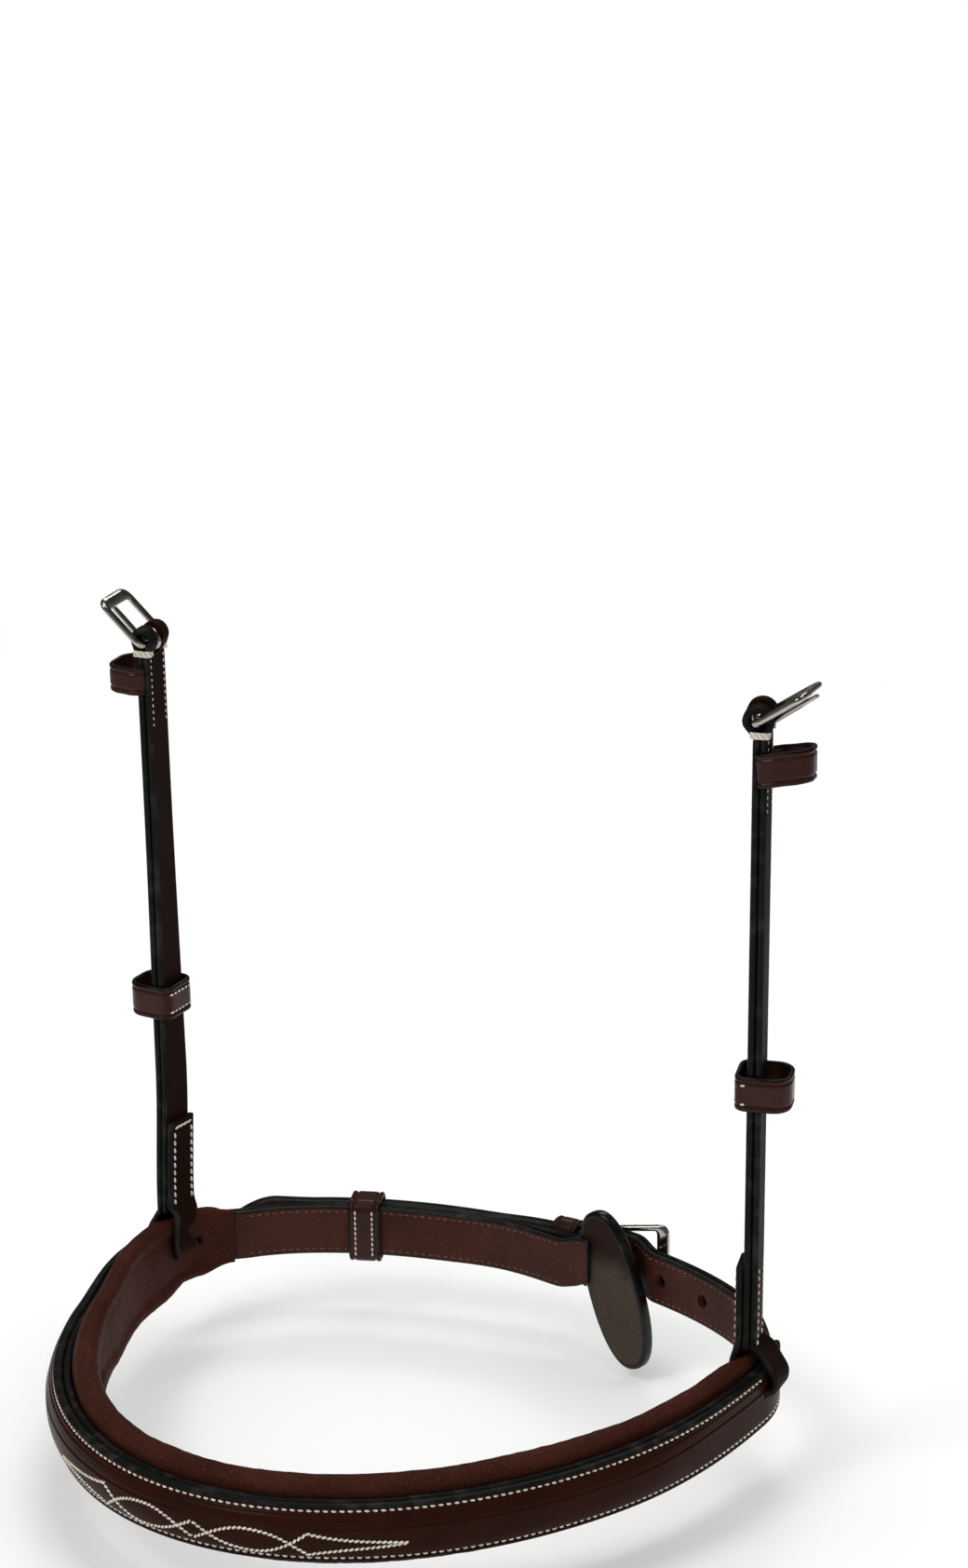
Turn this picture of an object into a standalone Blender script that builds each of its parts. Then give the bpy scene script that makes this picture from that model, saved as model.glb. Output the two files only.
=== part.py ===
import math

import bmesh
import bpy
import numpy as np
from mathutils import Matrix, Vector

# Hunter noseband, in metres. +Z is up, the nose is towards -Y and the near side is +X.
# The origin is the middle of the muzzle opening, level with the nosepiece's lower edge.
# Places on the band are given as arc, the distance round it from the middle of the nose
# towards the near side, with out, the distance outwards from the padding's outer face.

for old in list(bpy.data.objects):
    bpy.data.objects.remove(old, do_unlink=True)

clearance = 0.0003  # between pieces that touch
overrun = 0.004  # how far a cutter runs past what it cuts

# Muzzle opening: two half ellipses of one width
muzzle_half_width = 0.1159
nose_reach = 0.156
jaw_reach = 0.0653
ring_step = 0.0065  # spacing of the sections round the band
ring_samples = 2881

# Nosepiece
band_height = 0.020
band_ply = 0.0026  # the strap that runs behind the raised face
nosepiece_half_length = 0.241
face_ply = 0.0033  # fancy-stitched face, at the nose
face_end_ply = 0.0022  # the same at the cheeks
raise_height = 0.0024  # how far the filler lifts the face
filler_half_height = 0.0068
filler_half_length = 0.195
filler_edge = 0.0004
face_shoulder = 0.0012  # the face's rise starts this far outside the filler
face_row_shares = (-0.8, -0.45, 0, 0.45, 0.8)  # of the half height that rises
filler_row_shares = (-0.99, -0.7, -0.35, 0, 0.35, 0.7, 0.99)
swell_power_share = 0.75  # 0.5 is a round swell, 1 a parabola
padding_depth = 0.0092  # through the rolls, at the nose
padding_middle_depth = 0.005
padding_bulge = 0.0008
padding_cheek_depth = 0.0042
padding_cheek_middle_depth = 0.0034
padding_end_depth = 0.0024
roll_proud = 0.0046  # the rolls' height past the strap's edge
roll_cheek_proud = 0.002
roll_end_proud = 0.0003
full_padding_half_length = 0.140  # the padding keeps its nose section this far round
cheek_taper_length = 0.070

# Back straps
back_ply = 0.0022
back_height = 0.0185
back_rise = 0.0025  # the band climbs this much from nose to jaw
rise_start = 0.150
rise_length = 0.110
billet_rise = 0.0037  # the near back strap lies this much higher, up to the buckle
billet_rise_start = 0.234
billet_rise_length = 0.028
billet_fall_start = 0.334
billet_fall_length = 0.017
splice_inset = 0.005  # back straps start this far inside the nosepiece's ends
buckle_arc = 0.332  # where the far back strap ends, at the buckle's bar
chape_length = 0.030
back_chape_length = 0.014
billet_tip_gap = 0.243  # from the nose's middle, round the far side, to the billet's tip
billet_lift = 0.00685  # over the buckle's bar and the small keeper
billet_lay = 0.005  # over the far back strap
lift_start = 0.021  # before the bar, the billet starts to climb
lift_end = 0.004
lay_start = 0.031  # past the bar, the billet starts to settle
lay_length = 0.022
tip_taper = 0.016
tip_width = 0.005
tip_rise = 0.0025
tip_rise_length = 0.030
billet_hole_radius = 0.0025
billet_hole_pitch = 0.0222
billet_hole_shift = 0.0007  # towards the bar, where the tongue goes through the slope
billet_holes_before = 2
billet_holes_after = 3

# Cheek straps
cheek_arc = 0.220
cheek_width = 0.0129
cheek_ply = 0.0023
cheek_fold_height = 0.0315  # the line on which a cheek strap folds
cheek_lean = math.radians(2.0)
slit_height = 0.0030
slit_level = 0.0115  # above the band's lower edge
slit_margin = 0.0006
loop_corner = 0.0022
loop_slack = 0.0008  # inside the padding, which the band's curve brings closer
neck_share = 2.6  # of a fold's radius, below the bar
slot_share = 2.1  # of the same, how far a tongue's slot reaches down

# Keepers
keeper_ply = 0.0016
keeper_height = 0.0105
sewn_keeper_back = 0.0008  # its ends stop this far outside the inner ply's middle
keeper_corner = 0.0024
keeper_front_corner = 0.0042
keeper_margin = 0.0004  # round the straps
lower_keeper_depth = 0.0080
lower_keeper_height = 0.012
back_keeper_margin = 0.0010
back_keeper_height = 0.0115
back_keeper_arc = 0.290  # round the far side from the nose's middle
small_keeper_height = 0.010
small_keeper_after = 0.023  # past the buckle's bar

# Buckles
bar_radius = 0.0013
side_radius = 0.0011
end_half_width = 0.0023  # the flattened outer bar
end_half_thickness = 0.0011
buckle_corner = 0.003
buckle_side_play = 0.0005
fold_play = 0.00045
cheek_buckle_length = 0.0190  # bar to bar, centre to centre
back_buckle_length = 0.0187
back_frame_room = 0.0225  # between the sides, for the back strap and some play
back_frame_up = 0.0005  # its hinge bar's middle lies above the strap's
back_frame_skew = 0.0026  # the billet's pull lifts the outer bar
tongue_radius = 0.00095
tongue_overhang = 0.0026
lift_share = 0.3  # of the buckle's length, where the tongue starts down to the outer bar
rest_share = 0.8
slot_half_width = 0.0020
back_buckle_tilt = math.radians(19.5)
back_tongue_reach = 0.0099  # how far the back tongue stands out before it turns
back_tongue_bend = 0.0016

# Chin flap: an oval plate between the far back strap and its lining
flap_half_length = 0.029
flap_half_width = 0.0118
flap_ply = 0.0045
flap_edge = 0.0012  # rounding of its rim
flap_power_share = 2.3  # 2 is an ellipse, more is squarer
flap_arc = 0.352  # where its plane is set out
flap_along = 0.0266  # its middle, from there towards the near side
flap_up = 0.0098  # its middle, above the band's lower edge at the nose
flap_slant = math.radians(18.5)
flap_lean = math.radians(8)
flap_samples = 36
lining_end_arc = 0.335  # inside the flap
lining_leave = 0.345  # the lining runs flat on the flap up to here
lining_join = 0.060  # and is back against the strap this much further on
lining_end_height = 0.0150
lining_end_taper = 0.006

# The two cheek straps: which way round, bar and keeper heights, shift outwards, turn about Z,
# splay outwards, the buckle's lean, the tab's length, the upper keeper's drop below the bar,
# room and climb, and the loose keeper's slack inside the strap
sides = {
    "near": {"hand": 1, "bar": 0.247, "keeper": 0.121, "shift": -0.0016, "turn": math.radians(10),
             "splay": math.radians(0.8), "tilt": math.radians(64), "tab": 0.0262, "drop": 0.0147,
             "room": 0.0130, "climb": math.radians(7), "slack": 0.0022},
    "far": {"hand": -1, "bar": 0.2413, "keeper": 0.110, "shift": 0.0018, "turn": math.radians(8.2),
            "splay": math.radians(-0.4), "tilt": math.radians(46), "tab": 0.0297, "drop": 0.0129,
            "room": 0.0100, "climb": 0, "slack": 0.0004},
}

model = bpy.data.collections.new("hunter_noseband")
cutters = bpy.data.collections.new("cutters")
for group in (model, cutters):
    bpy.context.scene.collection.children.link(group)


def material(name, colour, roughness, metallic=0.0):
    made = bpy.data.materials.new(name)
    made.use_nodes = True
    shader = made.node_tree.nodes["Principled BSDF"]
    shader.inputs["Base Color"].default_value = (*colour, 1)
    shader.inputs["Roughness"].default_value = roughness
    shader.inputs["Metallic"].default_value = metallic
    return made


# The ring's plan, sampled once: places, arc lengths and outward normals
turns = np.linspace(-math.pi, math.pi, ring_samples)
reach = np.where(np.abs(turns) <= math.pi / 2, nose_reach, jaw_reach)
ring_xy = np.stack((muzzle_half_width * np.sin(turns), -reach * np.cos(turns)), 1)
ring_run = np.stack((muzzle_half_width * np.cos(turns), reach * np.sin(turns)), 1)
ring_run /= np.linalg.norm(ring_run, axis=1)[:, None]
ring_arc = np.concatenate(([0], np.cumsum(np.linalg.norm(np.diff(ring_xy, axis=0), axis=1))))
ring_length = ring_arc[-1]
ring_arc -= ring_length / 2


def wrapped(arc):
    return (arc + ring_length / 2) % ring_length - ring_length / 2


def along_ring(arc, table):
    return np.array([np.interp(wrapped(arc), ring_arc, table[:, i]) for i in (0, 1)])


def ease(value, start, length):
    share = min(max((value - start) / length, 0.0), 1.0)
    return share * share * (3 - 2 * share)


def rise(arc):
    """How much higher the band lies than at the nose."""
    arc = wrapped(arc)
    near = ease(arc, billet_rise_start, billet_rise_length) - ease(arc, billet_fall_start, billet_fall_length)
    return back_rise * ease(abs(arc), rise_start, rise_length) + billet_rise * near


def ring_frame(arc, out=0.0, height=0.0):
    """A frame on the band: X outwards, Y forwards round the band, Z up."""
    run = along_ring(arc, ring_run)
    run /= np.linalg.norm(run)
    point = along_ring(arc, ring_xy)
    outward = Vector((run[1], -run[0], 0))
    place = Vector((*point, rise(arc) + height)) + outward * out
    axes = Matrix((outward, Vector((*run, 0)), Vector((0, 0, 1)))).transposed()
    return Matrix.Translation(place) @ axes.to_4x4()


def on_ring(arc, out, height):
    return ring_frame(arc) @ Vector((out, 0, height))


def stations(start, end):
    """Section places from start to end, on one grid that all the pieces share."""
    inner = np.arange(math.ceil(start / ring_step), math.floor(end / ring_step) + 1) * ring_step
    near_end = ring_step / 4
    inner = inner[(inner > start + near_end) & (inner < end - near_end)]
    return [start, *inner.tolist(), end]


def finish_mesh(name, mesh, group, look=None, parent=None):
    piece = bpy.data.objects.new(name, mesh)
    group.objects.link(piece)
    if look:
        mesh.materials.append(look)
    if group is cutters:
        piece.hide_render = True
        piece.display_type = "WIRE"
    if parent:
        piece.parent = parent
    return piece


def loft(name, sections, look, closed=False, parent=None):
    """Skins sections of equal point count. An open loft gets a face on each end."""
    count, points = len(sections), len(sections[0])
    verts = [tuple(p) for section in sections for p in section]
    faces = []
    for i in range(count if closed else count - 1):
        here, there = i * points, (i + 1) % count * points
        for j in range(points):
            k = (j + 1) % points
            faces.append((here + j, here + k, there + k, there + j))
    if not closed:
        faces.append(tuple(reversed(range(points))))
        faces.append(tuple(range((count - 1) * points, count * points)))
    mesh = bpy.data.meshes.new(name)
    mesh.from_pydata(verts, [], faces)
    shell = bmesh.new()
    shell.from_mesh(mesh)
    bmesh.ops.recalc_face_normals(shell, faces=shell.faces)
    shell.to_mesh(mesh)
    shell.free()
    mesh.shade_smooth()
    mesh.set_sharp_from_angle(angle=math.radians(40))
    return finish_mesh(name, mesh, model, look, parent)


def strap_section(width, ply, plain=False):
    """Half a strap's section is its width across and its ply through, with broken corners."""
    w, t = width / 2, ply / 2
    if plain:
        return [(-w, -t), (w, -t), (w, t), (-w, t)]
    c = ply / 4
    c = min(c, w / 2)
    return [(-w + c, -t), (w - c, -t), (w, -t + c), (w, t - c),
            (w - c, t), (-w + c, t), (-w, t - c), (-w, -t + c)]


def ribbon(name, path, across, width, ply, look, closed=False, parent=None, plain=False):
    """A strap that follows a path. Its width lies along across, its ply square to both."""
    path = [Vector(p) for p in path]
    across = Vector(across)
    widths = width if hasattr(width, "__len__") else [width] * len(path)
    sections = []
    for i, point in enumerate(path):
        before = path[i - 1] if i or closed else point
        after = path[(i + 1) % len(path)] if i + 1 < len(path) or closed else point
        run = (after - before).normalized()
        through = run.cross(across).normalized()
        section = strap_section(widths[i], ply, plain)
        sections.append([point + across * a + through * b for a, b in section])
    return loft(name, sections, look, closed, parent)


def round_box(half_a, half_b, corner, steps=3, front_corner=None):
    """Points of a rectangle with round corners, about the origin. The front is towards +a."""
    points = []
    for quarter, (sa, sb) in enumerate(((1, 1), (-1, 1), (-1, -1), (1, -1))):
        round_by = front_corner if front_corner and sa > 0 else corner
        for step in range(steps + 1):
            angle = (quarter + step / steps) * math.pi / 2
            points.append((sa * (half_a - round_by) + round_by * math.cos(angle),
                           sb * (half_b - round_by) + round_by * math.sin(angle)))
    return points


def keeper(name, inner, width, height, look, parent, front_corner=keeper_front_corner):
    """A loop of leather about Z. inner is (lowest, highest) out, width the room across."""
    low, high = inner
    middle = (low + high) / 2
    half_out = (high - low + keeper_ply) / 2
    half_across = (width + keeper_ply) / 2
    outline = round_box(half_out, half_across, keeper_corner, front_corner=front_corner)
    path = [(middle + a, b, 0) for a, b in outline]
    return ribbon(name, path, (0, 0, 1), height, keeper_ply, look, closed=True, parent=parent)


def sewn_keeper(name, back, front, width, height, look, parent, climb):
    """A keeper whose two ends are sewn in beside the strap, so it has no back wall."""
    half = (width + keeper_ply) / 2
    outline = round_box((front - back) + keeper_ply / 2, half, keeper_front_corner)
    corner_points = len(outline) // 4
    bend = outline[-corner_points:] + outline[:corner_points]
    path = [(back, -half), *[(back + a, b) for a, b in bend], (back, half)]
    path = [(a, b, (a - back) * math.tan(climb)) for a, b in path]
    return ribbon(name, path, (0, 0, 1), height, keeper_ply, look, parent=parent)


def empty_at(name, matrix, parent=None):
    holder = bpy.data.objects.new(name, None)
    model.objects.link(holder)
    holder.parent = parent
    holder.matrix_basis = matrix
    return holder


def box_cutter(name, low, high, matrix):
    shape = bmesh.new()
    size = Vector(high) - Vector(low)
    middle = (Vector(high) + Vector(low)) / 2
    bmesh.ops.create_cube(shape, size=1, matrix=Matrix.Translation(middle) @ Matrix.Diagonal((*size, 1)))
    mesh = bpy.data.meshes.new(name)
    shape.to_mesh(mesh)
    shape.free()
    cutter = finish_mesh(name, mesh, cutters)
    cutter.matrix_basis = matrix
    return cutter


def cut(piece, cutter):
    boolean = piece.modifiers.new("cut", "BOOLEAN")
    boolean.operation = "DIFFERENCE"
    boolean.solver = "EXACT"
    boolean.object = cutter


def tube(name, points, radius, look, parent):
    """A round wire along points, with closed ends."""
    line = bpy.data.curves.new(name, "CURVE")
    line.dimensions = "3D"
    line.bevel_depth = radius
    line.bevel_resolution = 2
    line.use_fill_caps = True
    spline = line.splines.new("POLY")
    spline.points.add(len(points) - 1)
    for knot, point in zip(spline.points, points):
        knot.co = (*point, 1)
    line.materials.append(look)
    wire = bpy.data.objects.new(name, line)
    model.objects.link(wire)
    wire.parent = parent
    return wire


def circle_points(centre, radius, start, end, steps):
    """Points of an arc in the XZ plane, angles in degrees from +X towards +Z."""
    angles = np.radians(np.linspace(start, end, steps + 1))
    return [(centre[0] + radius * math.cos(a), 0, centre[1] + radius * math.sin(a)) for a in angles]


face_leather = material("face_leather", (0.028, 0.012, 0.008), 0.38)
strap_leather = material("strap_leather", (0.022, 0.014, 0.011), 0.45)
lining_leather = material("lining_leather", (0.085, 0.030, 0.018), 0.55)
keeper_leather = material("keeper_leather", (0.035, 0.012, 0.010), 0.35)
flap_leather = material("flap_leather", (0.070, 0.045, 0.035), 0.7)
filler_felt = material("filler_leather", (0.12, 0.08, 0.05), 0.8)
buckle_steel = material("buckle_steel", (0.62, 0.61, 0.58), 0.18, 1.0)


def cheek_share(arc):
    """0 along the nose, 1 from the cheeks back."""
    return ease(abs(arc), full_padding_half_length, cheek_taper_length)


def end_share(arc):
    """0 up to the cheek strap's slit, 1 at the nosepiece's ends."""
    start = cheek_arc + cheek_width / 2
    return ease(abs(arc), start, nosepiece_half_length - start)


def tapered(arc, nose, cheek, end):
    at_cheek = nose + (cheek - nose) * cheek_share(arc)
    return at_cheek + (end - at_cheek) * end_share(arc)


def make_padding():
    """Soft lining with a roll along each edge, thinner where the cheek straps go round it."""
    sections = []
    for arc in stations(-nosepiece_half_length, nosepiece_half_length):
        depth = tapered(arc, padding_depth, padding_cheek_depth, padding_end_depth)
        middle_depth = tapered(arc, padding_middle_depth, padding_cheek_middle_depth, padding_end_depth)
        proud = tapered(arc, roll_proud, roll_cheek_proud, roll_end_proud)
        radius = depth / 2
        top = band_height + proud - radius
        low = radius - proud
        section = []
        for angle in np.radians(np.linspace(0, 180, 6)):
            section.append((radius * math.cos(angle) - radius, top + radius * math.sin(angle)))
        section.append((-middle_depth, top - radius))
        section.append((-middle_depth - padding_bulge, (top + low) / 2))
        section.append((-middle_depth, low + radius))
        for angle in np.radians(np.linspace(180, 360, 6)):
            section.append((radius * math.cos(angle) - radius, low + radius * math.sin(angle)))
        sections.append([on_ring(arc, out - clearance, height) for out, height in section])
    return loft("nosepiece_padding", sections, lining_leather)


def dome(height, half, tall):
    """The filler's swell across the band: tall in the middle, nothing past half."""
    share = (height - band_height / 2) / half
    return tall * max(0.0, 1 - share * share) ** swell_power_share


def filler_taper(arc):
    start = full_padding_half_length
    return 1 - ease(abs(arc), start, filler_half_length - start)


def make_face():
    """Raised face strap: it lies on the backing at its edges and rides over the filler."""
    half = filler_half_height + face_shoulder
    rows = [band_height / 2 + half * share for share in face_row_shares]
    sections = []
    base = band_ply + clearance
    for arc in stations(-nosepiece_half_length, nosepiece_half_length):
        ply = tapered(arc, face_ply, face_end_ply, face_end_ply)
        tall = (raise_height + clearance) * filler_taper(arc)
        chamfer = ply / 4
        inner = [(0, 0), *[(dome(z, half, tall), z) for z in rows], (0, band_height)]
        outer = [(ply - chamfer, band_height), (ply, band_height - chamfer)]
        outer += [(ply + dome(z, half, tall), z) for z in reversed(rows)]
        outer += [(ply, chamfer), (ply - chamfer, 0)]
        sections.append([on_ring(arc, base + out, height) for out, height in inner + outer])
    return loft("nosepiece_face", sections, face_leather)


def make_filler():
    """Hidden strip of leather that raises the face."""
    rows = [band_height / 2 + filler_half_height * share for share in filler_row_shares]
    base = band_ply + clearance
    sections = []
    for arc in stations(-filler_half_length + ring_step, filler_half_length - ring_step):
        tall = raise_height * filler_taper(arc)
        flat = [(0, rows[0]), (0, rows[-1])]
        swell = [(max(dome(z, filler_half_height, tall), filler_edge * filler_taper(arc) / 2), z)
                 for z in reversed(rows)]
        sections.append([on_ring(arc, base + out, height) for out, height in flat + swell])
    return loft("nosepiece_filler", sections, filler_felt)


def ring_strap(name, start, end, low, ply, look, shift=None, up=None, width=band_height, plain=False):
    """A flat strap on edge round the band, from out = low to low + ply."""
    sections = []
    for arc in stations(start, end):
        moved = shift(arc) if shift else 0
        lifted = up(arc) if up else 0
        wide = width(arc) if callable(width) else width
        section = strap_section(wide, ply, plain)
        sections.append([on_ring(arc, low + moved + ply / 2 + b, band_height / 2 + lifted + a)
                         for a, b in section])
    return loft(name, sections, look)


splice = nosepiece_half_length - splice_inset
far_splice = ring_length - splice
far_lining_start = ring_length - nosepiece_half_length - clearance
billet_tip = ring_length - billet_tip_gap
bar_out = -clearance / 2  # the bar lies between the strap's two plies
fold_radius = bar_radius + fold_play + back_ply / 2


def billet_shift(arc):
    climb = ease(arc, buckle_arc - lift_start, lift_start - lift_end)
    settle = ease(arc, buckle_arc + lay_start, lay_length)
    return billet_lift * climb - (billet_lift - billet_lay) * settle


def billet_up(arc):
    return tip_rise * ease(arc, billet_tip - tip_rise_length, tip_rise_length)


def billet_width(arc):
    left = max(0.0, billet_tip - arc) / tip_taper
    return back_height if left >= 1 else tip_width + (back_height - tip_width) * math.sin(left * math.pi / 2)


def make_billet():
    face = ring_strap("near_billet_strap", splice + clearance, billet_tip, 0, back_ply, strap_leather,
                      billet_shift, billet_up, billet_width)
    lining = ring_strap("near_billet_lining", nosepiece_half_length + clearance, billet_tip,
                        -clearance - back_ply, back_ply, lining_leather,
                        billet_shift, billet_up, billet_width, plain=True)
    first = buckle_arc - bar_radius - clearance - tongue_radius + billet_hole_shift
    punch = bmesh.new()
    for number in range(-billet_holes_before, billet_holes_after + 1):
        arc = first + number * billet_hole_pitch
        place = ring_frame(arc, billet_shift(arc), band_height / 2)
        lie = place @ Matrix.Rotation(math.pi / 2, 4, "Y")
        bmesh.ops.create_cone(punch, cap_ends=True, segments=12, radius1=billet_hole_radius,
                              radius2=billet_hole_radius, depth=2 * (back_ply + overrun), matrix=lie)
    mesh = bpy.data.meshes.new("billet_punch")
    punch.to_mesh(mesh)
    punch.free()
    cutter = finish_mesh("billet_punch", mesh, cutters)
    for piece in (face, lining):
        cut(piece, cutter)


def fold_outline(tail, neck, top_centre, radius, front, behind, steps=8):
    """A strap's path round a buckle bar, as (out, along) pairs.

    It comes up at front, swells round the bar and returns at behind, down to tail.
    neck is how far below the bar the two legs part.
    """
    swell_share = 0.45
    points = [(front, neck)]
    points.append(((front + top_centre + radius) / 2, neck * swell_share))
    for angle in np.radians(np.linspace(-15, 195, steps + 1)):
        points.append((top_centre + radius * math.cos(angle), radius * math.sin(angle)))
    points.append(((behind + top_centre - radius) / 2, neck * swell_share))
    points.append((behind, neck))
    points.append((behind, tail))
    return points


def flap_frame():
    """The chin flap's plane: X outwards through it, Y away from the near side, Z up."""
    seat = -back_ply - 2 * clearance
    level = ring_frame(flap_arc, seat) @ Matrix.Translation((0, 0, -rise(flap_arc)))
    return level @ Matrix.Rotation(-flap_lean, 4, "Z")


def out_of_flap(arc, deep):
    """How far out the flap's face at this depth lies, on the band's normal at arc."""
    plane = flap_frame()
    normal = plane.to_3x3() @ Vector((1, 0, 0))
    face = plane @ Vector((-deep, 0, 0))
    here = ring_frame(arc)
    outward = here.to_3x3() @ Vector((1, 0, 0))
    return (face - here.translation).dot(normal) / outward.dot(normal)


def lining_shift(arc):
    """Carries the far lining inwards, over the flap's inner face."""
    over = 1 - ease(arc, lining_leave, lining_join)
    return over * out_of_flap(arc, flap_ply)


def lining_width(arc):
    return lining_end_height + (back_height - lining_end_height) * ease(arc, lining_end_arc, lining_end_taper)


def make_back_straps():
    """Far back strap with its fold round the buckle's bar, and its lining."""
    front = back_ply / 2
    behind = -clearance - back_ply / 2
    neck = fold_radius * neck_share
    path = [on_ring(arc, front, band_height / 2)
            for arc in reversed(stations(buckle_arc + neck + ring_step / 2, far_splice - clearance))]
    base = ring_frame(buckle_arc, 0, band_height / 2)
    for out, along in fold_outline(-back_chape_length, -neck, bar_out, fold_radius, front, behind):
        if along <= -neck:
            path.append(on_ring(buckle_arc - along, out, band_height / 2))
        else:
            path.append(base @ Vector((out, -along, 0)))
    strap = ribbon("far_back_strap", path, (0, 0, 1), back_height, back_ply, strap_leather)
    reach_out = fold_radius + back_ply
    slot = box_cutter("back_slot", (-reach_out, -reach_out, band_height / 2 - slot_half_width),
                      (reach_out, fold_radius * slot_share, band_height / 2 + slot_half_width),
                      ring_frame(buckle_arc))
    cut(strap, slot)
    ring_strap("far_back_lining", lining_end_arc, far_lining_start, -clearance - back_ply, back_ply,
               lining_leather, lining_shift, width=lining_width, plain=True)


def make_flap():
    """Flat oval flap with a rounded rim, hanging at a slant."""
    middle = flap_frame() @ Matrix.Translation((0, -flap_along, flap_up))
    middle = middle @ Matrix.Rotation(-flap_slant, 4, "X")
    power = 2 / flap_power_share
    sections = []
    for deep, inset in ((0, flap_edge), (flap_edge, 0), (flap_ply - flap_edge, 0), (flap_ply, flap_edge)):
        ring = []
        for turn in np.linspace(0, 2 * math.pi, flap_samples, endpoint=False):
            c, v = math.cos(turn), math.sin(turn)
            across = math.copysign(abs(c) ** power, c) * (flap_half_width - inset)
            along = math.copysign(abs(v) ** power, v) * (flap_half_length - inset)
            ring.append(middle @ Vector((-deep, across, along)))
        sections.append(ring)
    return loft("chin_flap", sections, flap_leather)


def make_cheek_loop(side, hand):
    """The strap's turn round the upper half of the band, through the slit."""
    seat = ring_frame(hand * cheek_arc)
    outer = band_ply + clearance + face_end_ply + clearance + cheek_ply / 2
    inner = -clearance - padding_cheek_depth - clearance - loop_slack - cheek_ply / 2
    stack = (3 * cheek_ply + 2 * clearance) / 2
    top = cheek_fold_height - stack - clearance - cheek_ply / 2 - rise(cheek_arc)
    low = slit_level
    middle = Vector(((outer + inner) / 2, 0, (top + low) / 2))
    path = [seat @ (middle + Vector((a, 0, b)))
            for a, b in round_box((outer - inner) / 2, (top - low) / 2, loop_corner, 4)]
    across = seat.to_3x3() @ Vector((0, 1, 0))
    ribbon(side + "_cheek_loop", path, across, cheek_width, cheek_ply, strap_leather, closed=True)
    half = cheek_width / 2 + slit_margin
    deep = max(-inner, outer) + overrun
    slit = box_cutter(side + "_slit", (-deep, -half, slit_level - slit_height / 2),
                      (deep, half, slit_level + slit_height / 2), seat)
    for name in ("nosepiece_padding", "band_strap", "nosepiece_face"):
        cut(bpy.data.objects[name], slit)


def buckle_frame(name, parent, strap_width, length, look, skew=0):
    """Rectangular frame: round hinge bar and sides, and a broad flattened outer bar.

    skew is how far the outer bar lies along the hinge bar's direction.
    """
    half = strap_width / 2 + buckle_side_play + side_radius
    sections = []
    loop = round_box(half, length / 2, buckle_corner, 4)
    for i, (a, b) in enumerate(loop):
        before, after = loop[i - 1], loop[(i + 1) % len(loop)]
        run = Vector((after[0] - before[0], after[1] - before[1])).normalized()
        far = ease(b, length / 2 - buckle_corner, buckle_corner)
        near = ease(-b, length / 2 - buckle_corner, buckle_corner)
        wide = side_radius + (end_half_width - side_radius) * far + (bar_radius - side_radius) * near
        thick = side_radius + (end_half_thickness - side_radius) * far + (bar_radius - side_radius) * near
        section = []
        for angle in np.radians(np.arange(0, 360, 45)):
            side = wide * math.cos(angle)
            along = b + length / 2 - run.x * side
            section.append(Vector((thick * math.sin(angle), a + run.y * side + skew * along / length, along)))
        sections.append(section)
    return loft(name, sections, look, closed=True, parent=parent)


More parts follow.
